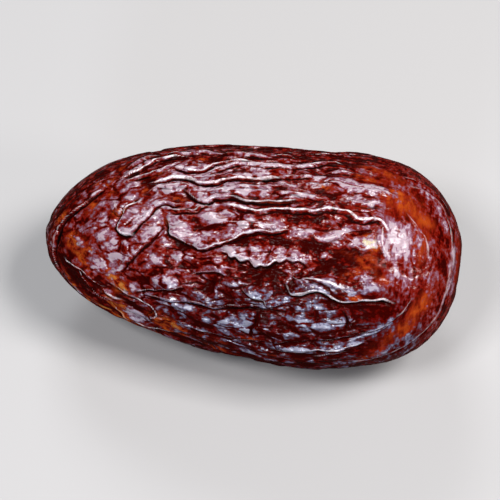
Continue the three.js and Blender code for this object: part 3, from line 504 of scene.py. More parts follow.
# Mounds of puffed skin on the same sheet, as x, y, length, width, degrees of turn, lift, and how much pale
# bloom and painted sheen is on them, from 1 down to -1 where the skin is bare; shares over 1 are painted
# highlights
MOUNDS = [
    # a film over the broad areas
    (-3.5, 6.9, 19, 6.4, 4, 0, 0.33),
    (-9.5, 2.2, 8.5, 5.5, 35, 0, 0.14),
    (-1, 3, 13, 3, 0, 0, 0.35),
    (7, 3, 8, 3, 0, 0, 0.25),
    (16.7, -0.4, 2.6, 4.8, 0, 0, 0.22),
    (15.7, 3.3, 1.4, 3.4, 15, 0, 0.4),
    (14.2, -1.2, 3, 3.2, 0, 0, 0.35),
    (2, -5.6, 18, 4.5, -3, 0, 0.15),
    (-17, 3.3, 2.4, 1.8, 50, 0, 0.35),
    (-12.4, 7.6, 2.8, 1.4, 38, 0, 0.55),
    (-3.6, 10, 5, 0.6, 2, 0, 0.8),
    (16.2, 6.9, 3.6, 1.6, -50, 0, 0.6),
    (16.4, -6.2, 3.4, 1.8, 48, 0, 0.35),
    (12.6, -8.5, 3.4, 1.2, 22, 0, 0.35),
    (-5.2, 2.8, 2.4, 1.6, 0, 0, 0.3),
    (5.9, 3.5, 2.8, 1.2, 0, 0, -0.35),
    (0.4, -6.5, 2.4, 1.8, 0, 0, 0.25),
    (4.5, -7.8, 4.6, 1, 2, 0, -0.5),
    (-7.9, -1.5, 2.4, 2, 0, 0, 0.15),
    (13.2, -5.9, 4.8, 1.3, 42, 0, 0.2),
    (-11.6, -6.4, 2.4, 1.2, -30, 0, -0.5),
    (-16.3, -4.4, 1.8, 1.2, -35, 0, -0.45),
    (0.6, -9.6, 4, 0.9, 0, 0, -0.5),
    (-5.5, -8.4, 3, 1, -8, 0, -0.4),
    (-8.6, 9.3, 2, 0.8, 10, 0, -0.3),
    (7.5, 9.9, 3.6, 1.8, 0, 0, -0.65),
    (-2.7, -5.7, 3, 2, 0, 0, -0.12),
    (4.6, -9.2, 3, 0.9, 0, 0, -0.25),
    # plates behind the tip
    (-11.2, 3.3, 4.2, 1.8, 52, 0.22, 0.42),
    (-12.3, 4.9, 2.6, 1.1, 45, 0.15, 0.8),
    (-11.9, 6.3, 1.5, 0.8, 20, 0.1, 0.7),
    (-10.4, 6, 1.3, 0.9, 60, 0.1, -0.5),
    (-9.1, 5.6, 1.7, 1.3, 20, 0.15, 0.9),
    (-7.1, 5.5, 1.8, 0.8, -10, 0, -0.9),
    (-6, 5, 0.8, 0.6, 0, 0.1, 1),
    (-9.9, 1.9, 4.6, 1.6, 52, 0.12, 0.28),
    (-8.3, 0.6, 3.5, 1.2, 62, 0.12, 0.5),
    (-14.3, 3.6, 0.9, 0.6, 30, 0.1, 1),
    (-13.7, 2.5, 2.2, 0.9, 5, 0.1, 0.5),
    (-14.5, 1, 2.6, 1.5, -10, 0.12, 0.45),
    (-12.4, 0.3, 3.2, 1.5, -20, 0.15, 0.4),
    (-12, 4.4, 2.4, 0.5, 40, 0, 1.2),
    (-16.7, 0.6, 1.4, 0.7, -30, 0.1, 1),
    (-16.2, 1.8, 1.6, 0.6, -35, 0.05, 0.8),
    (-14.6, 2.3, 2.6, 1.4, 10, 0.08, 0.4),
    (-13, 1.3, 2.8, 1.4, -10, 0.1, 0.5),
    (-12.4, -0.7, 2.6, 1.5, -30, 0.1, 0.6),
    (-14.1, -1.5, 2.4, 1.3, -35, 0.08, 1),
    (-9, -0.9, 1.4, 1.2, 30, 0.1, 0.8),
    (-8.3, -1.9, 2.6, 0.5, 25, -0.06, -0.8),
    (-7.4, -0.9, 1.4, 0.5, -50, -0.05, -0.7),
    (-9.9, -2.6, 1.6, 0.5, 10, -0.05, -0.8),
    (-10.9, -0.4, 1.2, 1, 50, 0.05, 0.6),
    (-16.3, -3.2, 4.2, 1.7, -35, -0.1, -0.6),
    (-16.3, -4.1, 0.6, 0.5, 0, 0.1, 1.6),
    (-14.9, -4.1, 1.1, 0.7, -20, 0.1, 1.4),
    (-13.6, -4.7, 0.9, 0.5, 30, 0.06, 1.2),
    (-10.8, -3.4, 0.7, 0.5, -20, 0.06, 1.3),
    (-10.4, -4.6, 0.7, 0.4, 0, 0.06, 1.2),
    (-10.1, -6.2, 2.2, 1.7, -25, 0.14, 2.4),
    (-10.9, -5.2, 2.2, 0.7, -25, -0.06, -1),
    (-11.8, -5.5, 2.6, 0.8, -30, 0.1, 0.8),
    (-16.4, 2.8, 2.2, 1.5, 40, -0.08, -0.25),
    (-15.3, 5.5, 1.5, 0.4, 45, 0.08, 1),
    (-14.3, 6.7, 0.8, 0.5, 40, 0.06, 0.8),
    (-13.9, 7.7, 1.4, 0.4, 38, 0.05, 0.7),
    # long bands under the top edge
    (-11.4, 8.3, 3.2, 0.7, 38, 0.1, 0.9),
    (-8.8, 7.9, 2.8, 0.5, 12, 0.1, 0.9),
    (-7.5, 6.5, 4.4, 0.7, 8, 0.12, 0.8),
    (-5.2, 6.3, 3.2, 0.8, -12, 0.12, 0.8),
    (-5, 8.5, 5, 0.6, 8, 0.12, 0.9),
    (-5.3, 7.6, 5.6, 0.45, -3, 0.08, 0.9),
    (-1, 7.8, 3.2, 0.5, 5, 0.08, 0.8),
    (-1.2, 8.6, 6.4, 0.8, 5, 0.15, 1),
    (-7.4, 9.5, 5.4, 0.5, 9, 0.1, 0.8),
    (-1, 9.7, 5.4, 0.5, 2, 0.1, 0.7),
    (-1.4, 6.2, 5.2, 1.3, 6, 0.2, 0.75),
    (1.4, 8.7, 4, 0.7, 6, 0.1, 1),
    (0.6, 6.4, 2.6, 1, 0, 0.1, 0.8),
    (1.6, 6.9, 3.4, 0.5, 3, 0.1, 1),
    (4.1, 7.2, 2, 0.6, 10, 0.1, 0.7),
    (4.4, 6.1, 3.6, 0.9, -4, 0.15, 1),
    (4.4, 9.15, 2.2, 0.5, 6, 0.1, 0.9),
    (7, 9.5, 3.4, 0.4, 4, 0.1, 0.3),
    (8.4, 8.65, 2.6, 0.5, -2, 0.1, 0.7),
    (3.9, 8.05, 3.2, 0.45, 3, 0.1, 0.9),
    (1, 9.4, 1.8, 0.3, 3, 0.05, 0.7),
    (4.5, 10.6, 9, 0.4, 1, 0.06, 0.6),
    (9.3, 7.3, 5.6, 1.5, -8, 0.25, 1.3),
    (8.6, 7.9, 3.6, 0.4, -9, 0, 1),
    (12.2, 7, 1.8, 0.4, -28, 0, 1),
    (11.9, 7.2, 2.4, 0.6, -20, 0.12, 1),
    (9.6, 5.9, 2, 0.8, -5, 0.12, 0.6),
    (11.4, 5.6, 1.7, 0.6, 12, 0.12, 0.9),
    (2, 5.3, 5, 0.4, 1, 0, -0.8),
    # the belly under the long crest
    (1.5, 3.95, 7, 0.7, 1, 0, -0.15),
    (-5.6, 3.6, 2.6, 0.8, -18, -0.05, -0.8),
    (-3.9, 2.7, 2.4, 0.6, 8, -0.06, -1),
    (-4, 4.2, 1.5, 1.1, -40, 0.12, 1),
    (-6.3, 2.4, 1.8, 1.4, -45, 0.15, 0.9),
    (-4.3, 1.5, 3.6, 1.1, -5, 0.15, 0.9),
    (-2.2, 3.1, 2.4, 0.6, -12, 0.15, 1),
    (-1.4, 2.3, 1.8, 0.8, 15, 0.1, 0.8),
    (1, 3.1, 4.8, 0.9, -3, 0.2, 0.9),
    (4.9, 2.6, 1.6, 0.8, 20, 0.15, 0.9),
    (7, 2.6, 2.6, 0.8, -18, 0.18, 0.8),
    (8.7, 2.7, 1.4, 1.1, 10, 0.18, 1),
    (9.2, 3.3, 0.7, 0.5, 0, 0.08, 1),
    (8.6, 3, 0.8, 0.5, 0, 0, 1),
    (10.2, 1.9, 1.9, 0.6, -45, 0.12, 0.9),
    # painted highlights: a cream one, and to its right the broad one of the main light
    (11.4, 2.2, 1.4, 1.3, 20, 0.22, 1.3),
    (11.45, 2, 1.1, 1, 0, 0.05, 2.4),
    (13.9, 2.35, 3.2, 2.7, -60, 0.12, 1.3),
    (13.8, 7.4, 3.6, 1.6, -30, 0, 0.5),
    (13.3, 3, 1.4, 0.5, -55, 0, 0.8),
    (14.3, 2, 1.6, 0.5, -65, 0, 0.8),
    (12.6, 2, 2.4, 0.6, -62, 0.12, 1),
    (13.1, 4.1, 2, 0.8, -25, 0.08, 0.8),
    (6.4, 1.5, 3.6, 0.9, -8, -0.08, -0.7),
    (9, 0.7, 2.6, 0.9, 0, -0.05, -1),
    (2, 1.7, 6, 0.7, 2, -0.05, -1),
    (-5.6, 0.5, 2.6, 0.5, -28, -0.05, -0.8),
    # the row of lumps across the middle, with painted highlights where their share is over 1
    (-0.9, 0.3, 2.4, 1, -12, 0.3, 1.2),
    (-0.5, 0.1, 1.1, 0.5, -15, 0, 1.4),
    (0.9, -0.2, 0.8, 0.35, -30, 0, 1.4),
    (2.4, -0.25, 0.8, 0.35, 20, 0, 1.2),
    (3.8, 0.15, 1, 0.35, 0, 0, 1.3),
    (5.2, -0.1, 0.7, 0.35, -40, 0, 1.3),
    (1.2, 0.3, 1.8, 1.3, -5, 0.28, 0.8),
    (3, 0.4, 1.9, 1.4, 5, 0.28, 0.9),
    (4.8, 0.4, 1.8, 1.3, -20, 0.3, 1.1),
    (7.2, 0.6, 1.1, 0.7, 10, 0.2, 2.2),
    (0.2, 0.5, 0.5, 1.3, 20, -0.12, -1.1),
    (2.1, 0.5, 0.4, 1.2, -10, -0.12, -1.1),
    (3.9, 0.5, 0.4, 1.1, 15, -0.12, -1.1),
    (1.4, -1.3, 5, 0.9, -4, -0.22, -1.2),
    (8.2, -0.4, 3.4, 0.9, -6, -0.15, -1),
    (-6.6, -0.3, 1.2, 0.8, -20, 0.2, 1.2),
    (-5.3, 0, 1.8, 0.9, -4, 0.15, 0.6),
    (-2.6, -0.9, 2.9, 1.5, -25, 0.28, 0.8),
    (-2.2, -1.3, 1, 0.7, -30, 0.08, 0.6),
    (-0.8, -2.45, 1.9, 0.5, 6, 0.2, 1.2),
    (0.9, -3.3, 1.6, 1.1, -15, 0.26, 1),
    (2.6, -4.1, 1.6, 1.2, 10, 0.26, 0.9),
    (-7.7, -2.6, 2.8, 1.2, 2, 0.28, 0.9),
    (-7, -1.6, 3, 0.6, 8, 0.05, 0.5),
    (-5.3, -3.3, 1.6, 0.9, -35, 0.18, 0.6),
    (-3.6, -4.3, 2.4, 0.8, -38, 0.2, 0.7),
    (-3.2, -3, 1, 1.4, 0, -0.15, -1.2),
    (-2.6, -3.2, 1.4, 0.4, 85, 0.15, 0.7),
    (9.6, -2.5, 2.8, 1.2, -16, 0.22, 0.8),
    (6.4, -2.2, 3.4, 1.2, -2, 0.22, 0.9),
    (4.6, -1.5, 1.8, 0.9, -30, 0.1, 0.6),
    (11.4, -1.3, 2.2, 1.2, -40, 0.18, 0.8),
    (12.2, -2, 1.2, 0.6, 0, 0.08, 0.9),
    (13.9, -0.6, 1.8, 0.7, -20, 0.1, 0.8),
    (11.2, -4.3, 4, 1.2, -2, -0.1, -1),
    # plates low down, blue-grey from the painted reflection of cool light there
    (-5.2, -5.3, 4.6, 0.9, -15, 0.24, 0.6),
    (-6.2, -4.6, 2.6, 0.5, -12, 0.1, 0.6),
    (-1.5, -6, 2.2, 1.2, -8, 0.24, 0.7),
    (0, -5.5, 1.4, 0.6, -35, 0.1, 0.6),
    (-0.1, -6.7, 1.3, 1.1, 5, 0.2, 0.9),
    (-1.2, -7.2, 1.8, 0.4, -15, 0.1, 0.8),
    (2.8, -6.8, 3.4, 1.4, -3, 0.28, 0.7),
    (6.4, -6, 4, 1.2, -4, 0.26, 0.7),
    (6.5, -6.05, 1.8, 0.6, -6, 0.1, 0.7),
    (7, -4.4, 4.2, 0.9, -5, 0.15, 0.5),
    (5, -4.3, 1.3, 0.8, 40, 0.08, 0.5),
    (8.9, -5.7, 1.8, 0.8, 20, 0.12, 0.6),
    (10.6, -4.9, 1.6, 0.5, 30, 0.1, 0.6),
    (-6.2, -6.2, 2.2, 0.5, -22, 0.2, 0.9),
    (-4.5, -6.9, 2, 0.4, -12, 0.08, 0.7),
    (5.4, -8.4, 4.8, 0.7, 4, 0.15, 0.8),
    (9.8, -7.8, 2.6, 0.6, 14, 0.12, 0.8),
    (12.5, -6, 4.6, 0.7, 42, 0.08, 0.5),
    (14.2, -7.4, 6, 0.6, 42, 0.1, 0.6),
    (-19.2, 0, 1, 3, 0, 0, 0.3),
    # a pale band round the stem end
    (18.1, 4, 4, 0.5, -62, 0, 0.75),
    (19.15, 0.3, 4.6, 0.55, -90, 0, 1.3),
    (18.4, -4, 4.2, 0.45, 70, 0, 0.75),
    (15.7, -7.8, 3, 0.4, 42, 0, 0.65),
]

# Thin places where the flesh shines through as amber, partly a painted glow of light through the skin, as x,
# y, length, width, degrees and share
AMBER = [
    (14.8, -6, 7.6, 2, 47, 0.85),
    (16.6, -3.2, 3, 1.4, 68, 0.55),
    (12, -8.7, 3.6, 0.8, 18, 0.5),
    (13.2, 6.2, 4, 2.6, 10, 0.8),
    (13.6, 6.9, 1.4, 0.5, -10, 0.6),
    (11.4, 9.2, 4.2, 1.2, -12, 0.6),
    (7.2, 6.9, 2.2, 0.7, -20, 0.5),
    (10.3, 8.3, 3, 0.8, -4, 1),
    (16.4, 4.4, 1.4, 1.3, 0, 0.55),
    (5.9, 7.4, 1.8, 0.9, -30, 1.1),
    (9.7, 0.9, 3, 0.8, -10, 0.4),
    (10.2, -0.6, 2.2, 0.9, 20, 0.9),
    (9.6, -1.5, 1.8, 0.6, 0, 0.7),
    (12.8, -1.3, 2, 1.1, -20, 0.9),
    (10.1, -3, 2.4, 0.5, -4, 1.2),
    (11.6, 0.3, 2.6, 1.4, 0, 0.65),
    (15.2, 5, 4.4, 3, -50, 0.55),
    (12.6, 8.4, 5, 1.8, -15, 0.5),
    (11, 4.9, 3.4, 0.7, -5, 0.6),
    (3, 5.35, 9, 0.35, 0, 0.5),
    (16, 1.8, 1.4, 3, 0, 0.8),
    (19.4, 1, 0.9, 7, 0, 0.5),
    # painted cream highlight, where this amber meets thick bloom
    (11.4, 2.1, 1.7, 1.4, 0, 2.6),
    (-16.3, 0.3, 2.6, 1.6, -30, 1),
    (-17.5, 1, 1.2, 1.6, 0, 1),
    (-15.6, 4.3, 1.6, 1.1, 40, 1.1),
    (-15, 0, 0.9, 1.2, 20, 0.9),
    (-15.7, -1.3, 2.4, 0.8, -40, 1.1),
    (-12.3, -3.1, 1.9, 1.3, -40, 1.1),
    (-13.9, 5.6, 1.6, 1, 40, 0.8),
    (-13.2, -1.5, 1, 0.8, 0, 0.8),
    (-13.3, 3.7, 1, 0.9, 30, 0.9),
    (-15.5, 6.2, 1.1, 0.9, 30, 0.9),
    (-14.1, 6.7, 1.6, 0.9, 30, 1.3),
    (-12.9, 8.2, 1.2, 0.6, 40, 0.8),
    (-10.6, 6.1, 1.2, 1.1, 0, 0.9),
    (-7.2, 5.5, 1.8, 0.7, -10, 0.9),
    (-5.3, 9.2, 1.4, 0.5, -5, 0.9),
    (-7.8, 3.3, 0.8, 1.2, 10, 1.2),
    (-18.6, 2.8, 1.8, 0.7, 50, 1.8),
    (-9.3, 7.6, 1.8, 0.4, 12, 0.9),
    (-12, -3.2, 3, 1.4, -42, 1.2),
    (-12.4, -5, 2.8, 1.7, -30, 1.5),
    (-8.1, -6.4, 2, 2, -30, 1.8),
    (-6.4, -7, 2, 1.4, -20, 1.8),
    (-12.1, 4.2, 2.6, 0.8, 42, 1),
    (-2.6, -9, 4, 1, -3, 1),
    (-11, -7, 5, 1.6, -32, 1.4),
    (-7.4, -8.2, 3.8, 1.4, -14, 1.4),
    (-3, -7.9, 3, 0.9, -8, 0.7),
    (-15.2, -4.9, 2.6, 1.4, -45, 0.9),
    (-12.4, -5.7, 3.2, 0.5, -38, 1.8),
    (-16, -4.4, 4.4, 0.6, -36, 1.8),
    (-13, -6, 3.4, 0.6, -24, 1.6),
    (-9.8, -6.95, 4.8, 0.5, -17, 1.8),
    (-6.6, -7.7, 3.2, 0.5, -10, 1.4),
    (0.9, -7.75, 2.2, 0.4, -5, 0.9),
    (3, -9.3, 6, 0.6, 2, 0.5),
]


# Small functions used all over


def tone(red, green, blue):
    """A colour as seen on a screen, 0 to 255, as the linear values that Blender mixes."""
    shares = np.array([red, green, blue]) / 255
    linear = np.where(shares <= 0.04045, shares / 12.92, ((shares + 0.055) / 1.055) ** 2.4)
    return tuple(float(v) for v in linear)


def bell(t):
    """A round bump, 1 at zero and falling to 0 on both sides."""
    return np.exp(-t * t)


def fade(t):
    """A share from 0 to 1, eased at both ends."""
    return t * t * (3 - 2 * t)


def ramp(low, high, v):
    """0 at low, 1 at high and eased between them."""
    return fade(np.clip((v - low) / (high - low), 0, 1))


# Repeatable noise


def cell_number(i, j, k, seed):
    """A repeatable number from 0 to 1 for each cell of a lattice."""
    h = i.astype(np.uint32) * STIR_X ^ j.astype(np.uint32) * STIR_Y
    h ^= k.astype(np.uint32) * STIR_Z ^ np.uint32(seed * STIR_SEED % STIR_RANGE)
    h = (h ^ h >> np.uint32(13)) * STIR_Z
    h = (h ^ h >> np.uint32(15)) * STIR_Y
    return (h ^ h >> np.uint32(16)) / STIR_RANGE


def noise(place, seed):
    """Smooth noise from -1 to 1 at each row of place."""
    low = np.floor(place).astype(np.int64)
    part = fade(place - low)
    total = 0
    for corner in np.ndindex(2, 2, 2):
        share = np.prod(np.where(corner, part, 1 - part), axis=1)
        total = total + share * cell_number(*(low + corner).T, seed)
    return 2 * total - 1


def shift(place, seed):
    """Smooth noise from -1 to 1 along each axis, at each row of place."""
    return np.column_stack([noise(place, seed + axis) for axis in range(3)])


# The smooth body


def girth(x):
    """Girth at x as a share of the belly's."""
    towards_tip = x < BELLY_X
    reach = np.where(towards_tip, LENGTH / 2 + BELLY_X, LENGTH / 2 - BELLY_X)
    power = np.where(towards_tip, TIP_POWER, STEM_POWER)
    past = np.minimum(1, np.abs(x - BELLY_X) / reach)
    return (1 - past**power) ** (1 / power)


def bow(x):
    """How far the axis at x stands back from the belly's."""
    return BEND * ramp(BELLY_X, BEND_END, x)


def body_points(x, turn):
    """Points of the smooth body, where turn goes round the axis from +Y towards +Z."""
    rise = HEIGHT / 2 - SETTLE + LEAN * (x - LEAN_X)
    y = bow(x) + WIDTH / 2 * girth(x) * np.cos(turn)
    z = rise + HEIGHT / 2 * girth(x) * np.sin(turn)
    return np.column_stack([x, y, z])


def sheet_turn(x, y):
    """Where points of the sheet fall on the body."""
    mid = SHEET_MID + bow(x) * math.sin(SIGHT)
    across = (y - mid) / (HALF_SEEN * np.maximum(girth(x), THINNEST))
    return EDGE_TURN + np.arccos(np.clip(across, -1, 1))


# Relief


def skin_place(x, turn, length, width):
    """Place in the skin's own lattice, which runs on over both ends without a seam."""
    round_share = WIDTH / 2 / width * np.sqrt(girth(x))
    return np.column_stack([x / length, round_share * np.cos(turn), round_share * np.sin(turn)])


def blend(squares, levels, keen):
    """Level of the nearest plates, and how near their edges are, both softer where keen is small."""
    weight = np.exp(-keen * squares)
    weight /= weight.sum(axis=0)
    return (weight * levels).sum(axis=0), 1 - (weight**2).sum(axis=0)


def plates(x, turn, length, width, seed):
    """Plates with soft edges, as their height: a level each, a rim over lower neighbours, and the creases."""
    still = skin_place(x, turn, length, width)
    place = still + PLATE_WARP * shift(still * PLATE_WARP_TURNS, seed)
    low = np.floor(place).astype(np.int64)
    squares, levels = [], []
    for step in np.ndindex(3, 3, 3):
        cell = low + step - 1
        middle = np.column_stack([cell_number(*cell.T, seed + MIDDLES + axis) for axis in range(3)])
        squares.append(np.sum((cell + middle - place) ** 2, axis=1))
        levels.append(2 * cell_number(*cell.T, seed + LEVELS) - 1)
    squares, levels = np.array(squares), np.array(levels)
    squares -= squares.min(axis=0)
    sharp_level, sharp_crease = blend(squares, levels, SHARP)
    soft_level, soft_crease = blend(squares, levels, SOFT)
    rim = sharp_level - soft_level
    return PLATE_LEVEL * sharp_level + PLATE_RIM * rim - PLATE_CREASE * (sharp_crease + soft_crease) / 2


def smooth_path(path):
    """Closely set points along a smooth curve through those of a path."""
    knots = np.array(path, float)
    knots = np.vstack([2 * knots[0] - knots[1], knots, 2 * knots[-1] - knots[-2]])
    runs = []
    for a, b, c, d in zip(knots, knots[1:], knots[2:], knots[3:]):
        count = max(2, math.ceil(np.linalg.norm(c - b) / FOLD_STEP))
        t = np.linspace(0, 1, count, endpoint=False)[:, None]
        runs.append(b + t / 2 * (c - a + t * (2 * a - 5 * b + 4 * c - d + t * (3 * (b - c) + d - a))))
    return np.vstack([*runs, knots[-2:-1]])


def lay_fold(path):
    """Marks along a drawn fold on the body: places, directions, the ways across and the distance run."""
    x, y = smooth_path(path).T
    points = body_points(x, sheet_turn(x, y))
    along = np.gradient(points, axis=0)
    along /= np.linalg.norm(along, axis=1, keepdims=True)
    outward = points - np.column_stack([x, 0 * x, 0 * x + HEIGHT / 2])
    outward[:, 0] = 0
    across = np.cross(outward, along)
    across /= np.linalg.norm(across, axis=1, keepdims=True)
    steps = np.linalg.norm(np.diff(points, axis=0), axis=1)
    return points, along, across, np.concatenate([[0], np.cumsum(steps)])


def fold_section(fold, d):
    """Height of a fold at a signed distance from its path, and how far that is from its crease and crest."""
    inside = d * fold.side
    if fold.kind == "ridge":
        crest = CREST_SHARE * np.exp(-np.abs(d) / CREST_HALF) + (1 - CREST_SHARE) * bell(d / SWELL_HALF)
        return fold.lift * crest, inside + GROOVE_AWAY, inside - LINE_AWAY
    if fold.kind == "groove":
        return fold.lift * (bell(d / SWELL_HALF) - bell(d / GROOVE_HALF)), d, inside - GROOVE_AWAY
    past = np.clip(-inside / SHELF_EDGE, -SHELF_EDGE_LIMIT, SHELF_EDGE_LIMIT)
    edge = 1 / (1 + np.exp(past))
    shelf = np.exp(-np.maximum(inside, 0) / SHELF_REACH) * edge
    rim = bell((inside - RIM_HALF) / RIM_HALF)
    height = fold.lift * ((1 - RIM_SHARE) * shelf + RIM_SHARE * rim)
    return height, inside + GROOVE_HALF, inside - 2 * LINE_AWAY


def wobbled(points):
    """Points moved a little, so that what is drawn through them wanders."""
    wobble = FOLD_WOBBLE * shift(points / FOLD_WOBBLE_SIZE, WOBBLE_SEED)
    return points + wobble + FINE_WOBBLE * shift(points / FINE_WOBBLE_SIZE, FINE_WOBBLE_SEED)


def fold_changes(marks, bright):
    """How strong, how pale its painted highlight and how deep a fold is at its marks, and how thick its lines
    are.
    """
    place = marks / FOLD_CHANGE_SIZE
    strong = STRONG_MEAN + STRONG_SWING * noise(place, STRONG_SEED)
    pale = bright + (1 - bright) * ramp(WORN_FROM, WORN_TO, noise(place, WORN_SEED))
    deep = DEEP_LEAST + (1 - DEEP_LEAST) * ramp(DEEP_FROM, DEEP_TO, noise(place, DEEP_SEED))
    thick = LINE_SPREAD * (THICK_MEAN + THICK_SWING * noise(place * THICK_TURNS, THICK_SEED))
    return strong, pale, deep, thick


def near_fold(skin, marks, along, run):
    """Points near a fold by number, their nearest marks, the ways from those, and the fold's share there."""
    inside = np.all(skin > marks.min(axis=0) - FOLD_REACH, axis=1)
    inside &= np.all(skin < marks.max(axis=0) + FOLD_REACH, axis=1)
    near = np.flatnonzero(inside)
    spot = skin[near]
    square = (spot**2).sum(axis=1)[:, None] - 2 * spot @ marks.T + (marks**2).sum(axis=1)
    mark = square.argmin(axis=1)
    away = spot - marks[mark]
    close = (away**2).sum(axis=1) < FOLD_REACH**2
    ran = run[mark] + (away * along[mark]).sum(axis=1)
    left = np.minimum(ran, run[-1] - ran) + FOLD_PAST_END
    return near, mark, away, close * ramp(0, FOLD_TAPER, left)


def keep_nearer(line, near, nearness, share):
    """Keep how near the nearest line is and how strong it is there, at points near a fold."""
    closer = nearness * share > line[0, near] * line[1, near]
    line[:, near] = np.where(closer, (nearness, share), line[:, near])


def folds_at(points):
    """What all drawn folds add at points of the smooth body, and how near and how strong their lines are: pale
    ones of painted highlight, and ones of painted shade by the creases.
    """
    skin = wobbled(points)
    height = np.zeros(len(points))
    pale, crease_shade = np.zeros((2, 2, len(points)))
    for fold in FOLDS:
        marks, along, across, run = lay_fold(fold.path)
        strong, bright, deep, thick = fold_changes(marks, fold.bright)
        near, mark, away, share = near_fold(skin, marks, along, run)
        rise, from_crease, from_crest = fold_section(fold, (away * across[mark]).sum(axis=1))
        crease = share * deep[mark] * fold.crease
        height[near] += share * strong[mark] * rise - crease * bell(from_crease / GROOVE_HALF)
        pale_share = share * bright[mark] * min(1, fold.lift / PALE_LIFT)
        keep_nearer(pale, near, bell(from_crest / (thick[mark] * fold.line)), pale_share)
        crease_shade_share = np.minimum(1, crease / CREASE_SHADE_FULL)
        keep_nearer(crease_shade, near, bell(from_crease / (thick[mark] * CREASE_SHADE_HALF)), crease_shade_share)
    return height, pale, crease_shade


def spot_at(skin, x, y, length, width, degrees):
    """A round-edged oval spot at a place of the sheet, as 1 inside and 0 outside, at points of the skin."""
    middle = np.array([float(x)])
    turn = sheet_turn(middle, y)
    centre = body_points(middle, turn)[0]
    above = body_points(middle, turn - SMALL_TURN)[0]
    up = (above - centre) / np.linalg.norm(above - centre)
    away = skin - centre
    along, across = away[:, 0], away @ up
    depth = away @ np.cross([1, 0, 0], up)
    slant = math.radians(degrees)
    long_way = (along * math.cos(slant) + across * math.sin(slant)) / (length / 2)
    short_way = (across * math.cos(slant) - along * math.sin(slant)) / (width / 2)
    round_way = (long_way**2 + short_way**2) ** (SPOT_FLATNESS / 2)
    return np.exp(-SPOT_FALL * round_way) * (np.abs(depth) < SPOT_DEPTH)


def spots_at(points):
    """What the mounds add at points of the smooth body, the bloom, painted sheen and highlights on them, and
    the amber places.
    """
    skin = wobbled(points)
    height, bloom_and_sheen, amber = np.zeros((3, len(points)))
    for *place, lift, share in MOUNDS:
        spot = spot_at(skin, *place)
        height += lift * spot
        bloom_and_sheen += share * spot
    for *place, share in AMBER:
        amber += share * spot_at(skin, *place)
    return height, bloom_and_sheen, amber


def ends_at(x, radius):
    """Stem scar at one end and nib at the other, by distance from the axis."""
    scar = SCAR_RIM * bell((radius - SCAR_RIM_AT) / SCAR_RIM_HALF)
    scar -= SCAR_DEPTH * bell((radius / SCAR_RADIUS) ** 2)
    nib = NIB_HEIGHT * bell((radius / NIB_RADIUS) ** 2)
    return np.where(x > BELLY_X, scar, np.where(x < NIB_SIDE, nib, 0))


def all_round(x, turn, points, drawn):
    """Swells, plates and small wrinkles, which go all round, but calmer on the drawn side and at both ends."""
    near_ends = np.maximum(ramp(CALM_FROM, CALM_TO, x), ramp(TIP_CALM_FROM, TIP_CALM_TO, x))
    calm = 1 - (1 - CALM_SHARE) * near_ends
    large = plates(x, turn, PLATE_LENGTH, PLATE_WIDTH, SEED)
    small = WRINKLE_SHARE * plates(x, turn, WRINKLE_LENGTH, WRINKLE_WIDTH, WRINKLE_SEED)
    plate_share = 1 - (1 - DRAWN_SHARE) * drawn
    wrinkle_share = 1 - (1 - DRAWN_WRINKLES) * drawn
    swell = SWELL_LIFT * noise(points / SWELL_SIZE, SWELL_SEED)
    return swell + calm * (plate_share * large + wrinkle_share * small)


def relief(x, turn, points):
    """Height of the skin over the smooth body, and the values that tell the material what is where."""
    drawn = ramp(DRAWN_FROM, DRAWN_TO, np.sin(turn - EDGE_TURN))
    folds, pale, crease_shade = folds_at(points)
    mounds, bloom_and_sheen, amber = spots_at(points)
    ends = ends_at(x, WIDTH / 2 * girth(x))
    grain = GRAIN_LIFT * noise(points / GRAIN_SIZE, GRAIN_SEED)
    height = all_round(x, turn, points, drawn) + folds + mounds + ends + grain
    amber += (1 - drawn) * AMBER_SHARE * ramp(AMBER_FROM, 1, np.abs(x) / (LENGTH / 2))
    from_scar = np.where(x > BELLY_X, WIDTH / 2 * girth(x), WIDTH)
    amber += SCAR_AMBER * bell((from_scar / SCAR_RADIUS) ** 2)
    bloom_and_sheen -= SCAR_BARE * bell((from_scar - SCAR_RIM_AT) / SCAR_BARE_HALF)
    return height, {
        # The pale lines are painted highlights on the crests, the lines by the creases painted shade
        "pale_near": pale[0],
        "pale_share": pale[1],
        "crease_shade_near": crease_shade[0],
        "crease_shade_share": crease_shade[1],
        "bloom_and_sheen": bloom_and_sheen,
        "amber": amber,
        "drawn": drawn,
    }


# The mesh


def cube_ball(squares):
    """Points and faces of a ball made from a cube, with squares of nearly even size."""
    warp = np.tan(np.linspace(-1, 1, squares + 1) * math.pi / 4)
    u, v = (grid.ravel() for grid in np.meshgrid(warp, warp, indexing="ij"))
    number = np.arange((squares + 1) ** 2).reshape(squares + 1, squares + 1)
    corners = [number[:-1, :-1], number[1:, :-1], number[1:, 1:], number[:-1, 1:]]
    quad = np.stack(corners, axis=-1).reshape(-1, 4)
    points, faces = [], []
    for axis in range(3):
        for side in (1, -1):
            columns = [None] * 3
            columns[axis] = np.full(len(u), float(side))
            columns[(axis + 1) % 3] = u * side
            columns[(axis + 2) % 3] = v
            faces.append(quad + len(points) * len(u))
            points.append(np.column_stack(columns))
    points = np.vstack(points)
    points /= np.linalg.norm(points, axis=1, keepdims=True)
    points, number = np.unique(np.round(points, SAME_PLACE_DIGITS), axis=0, return_inverse=True)
    return points, number.ravel()[np.vstack(faces)]


def normals_of(points, faces):
    """Outward direction at each point."""
    corners = points[faces]
    face_normal = np.cross(corners[:, 2] - corners[:, 0], corners[:, 3] - corners[:, 1])
    total = np.zeros_like(points)
    for corner in faces.T:
        for axis in range(3):
            total[:, axis] += np.bincount(corner, face_normal[:, axis], len(points))
    return total / np.linalg.norm(total, axis=1, keepdims=True)


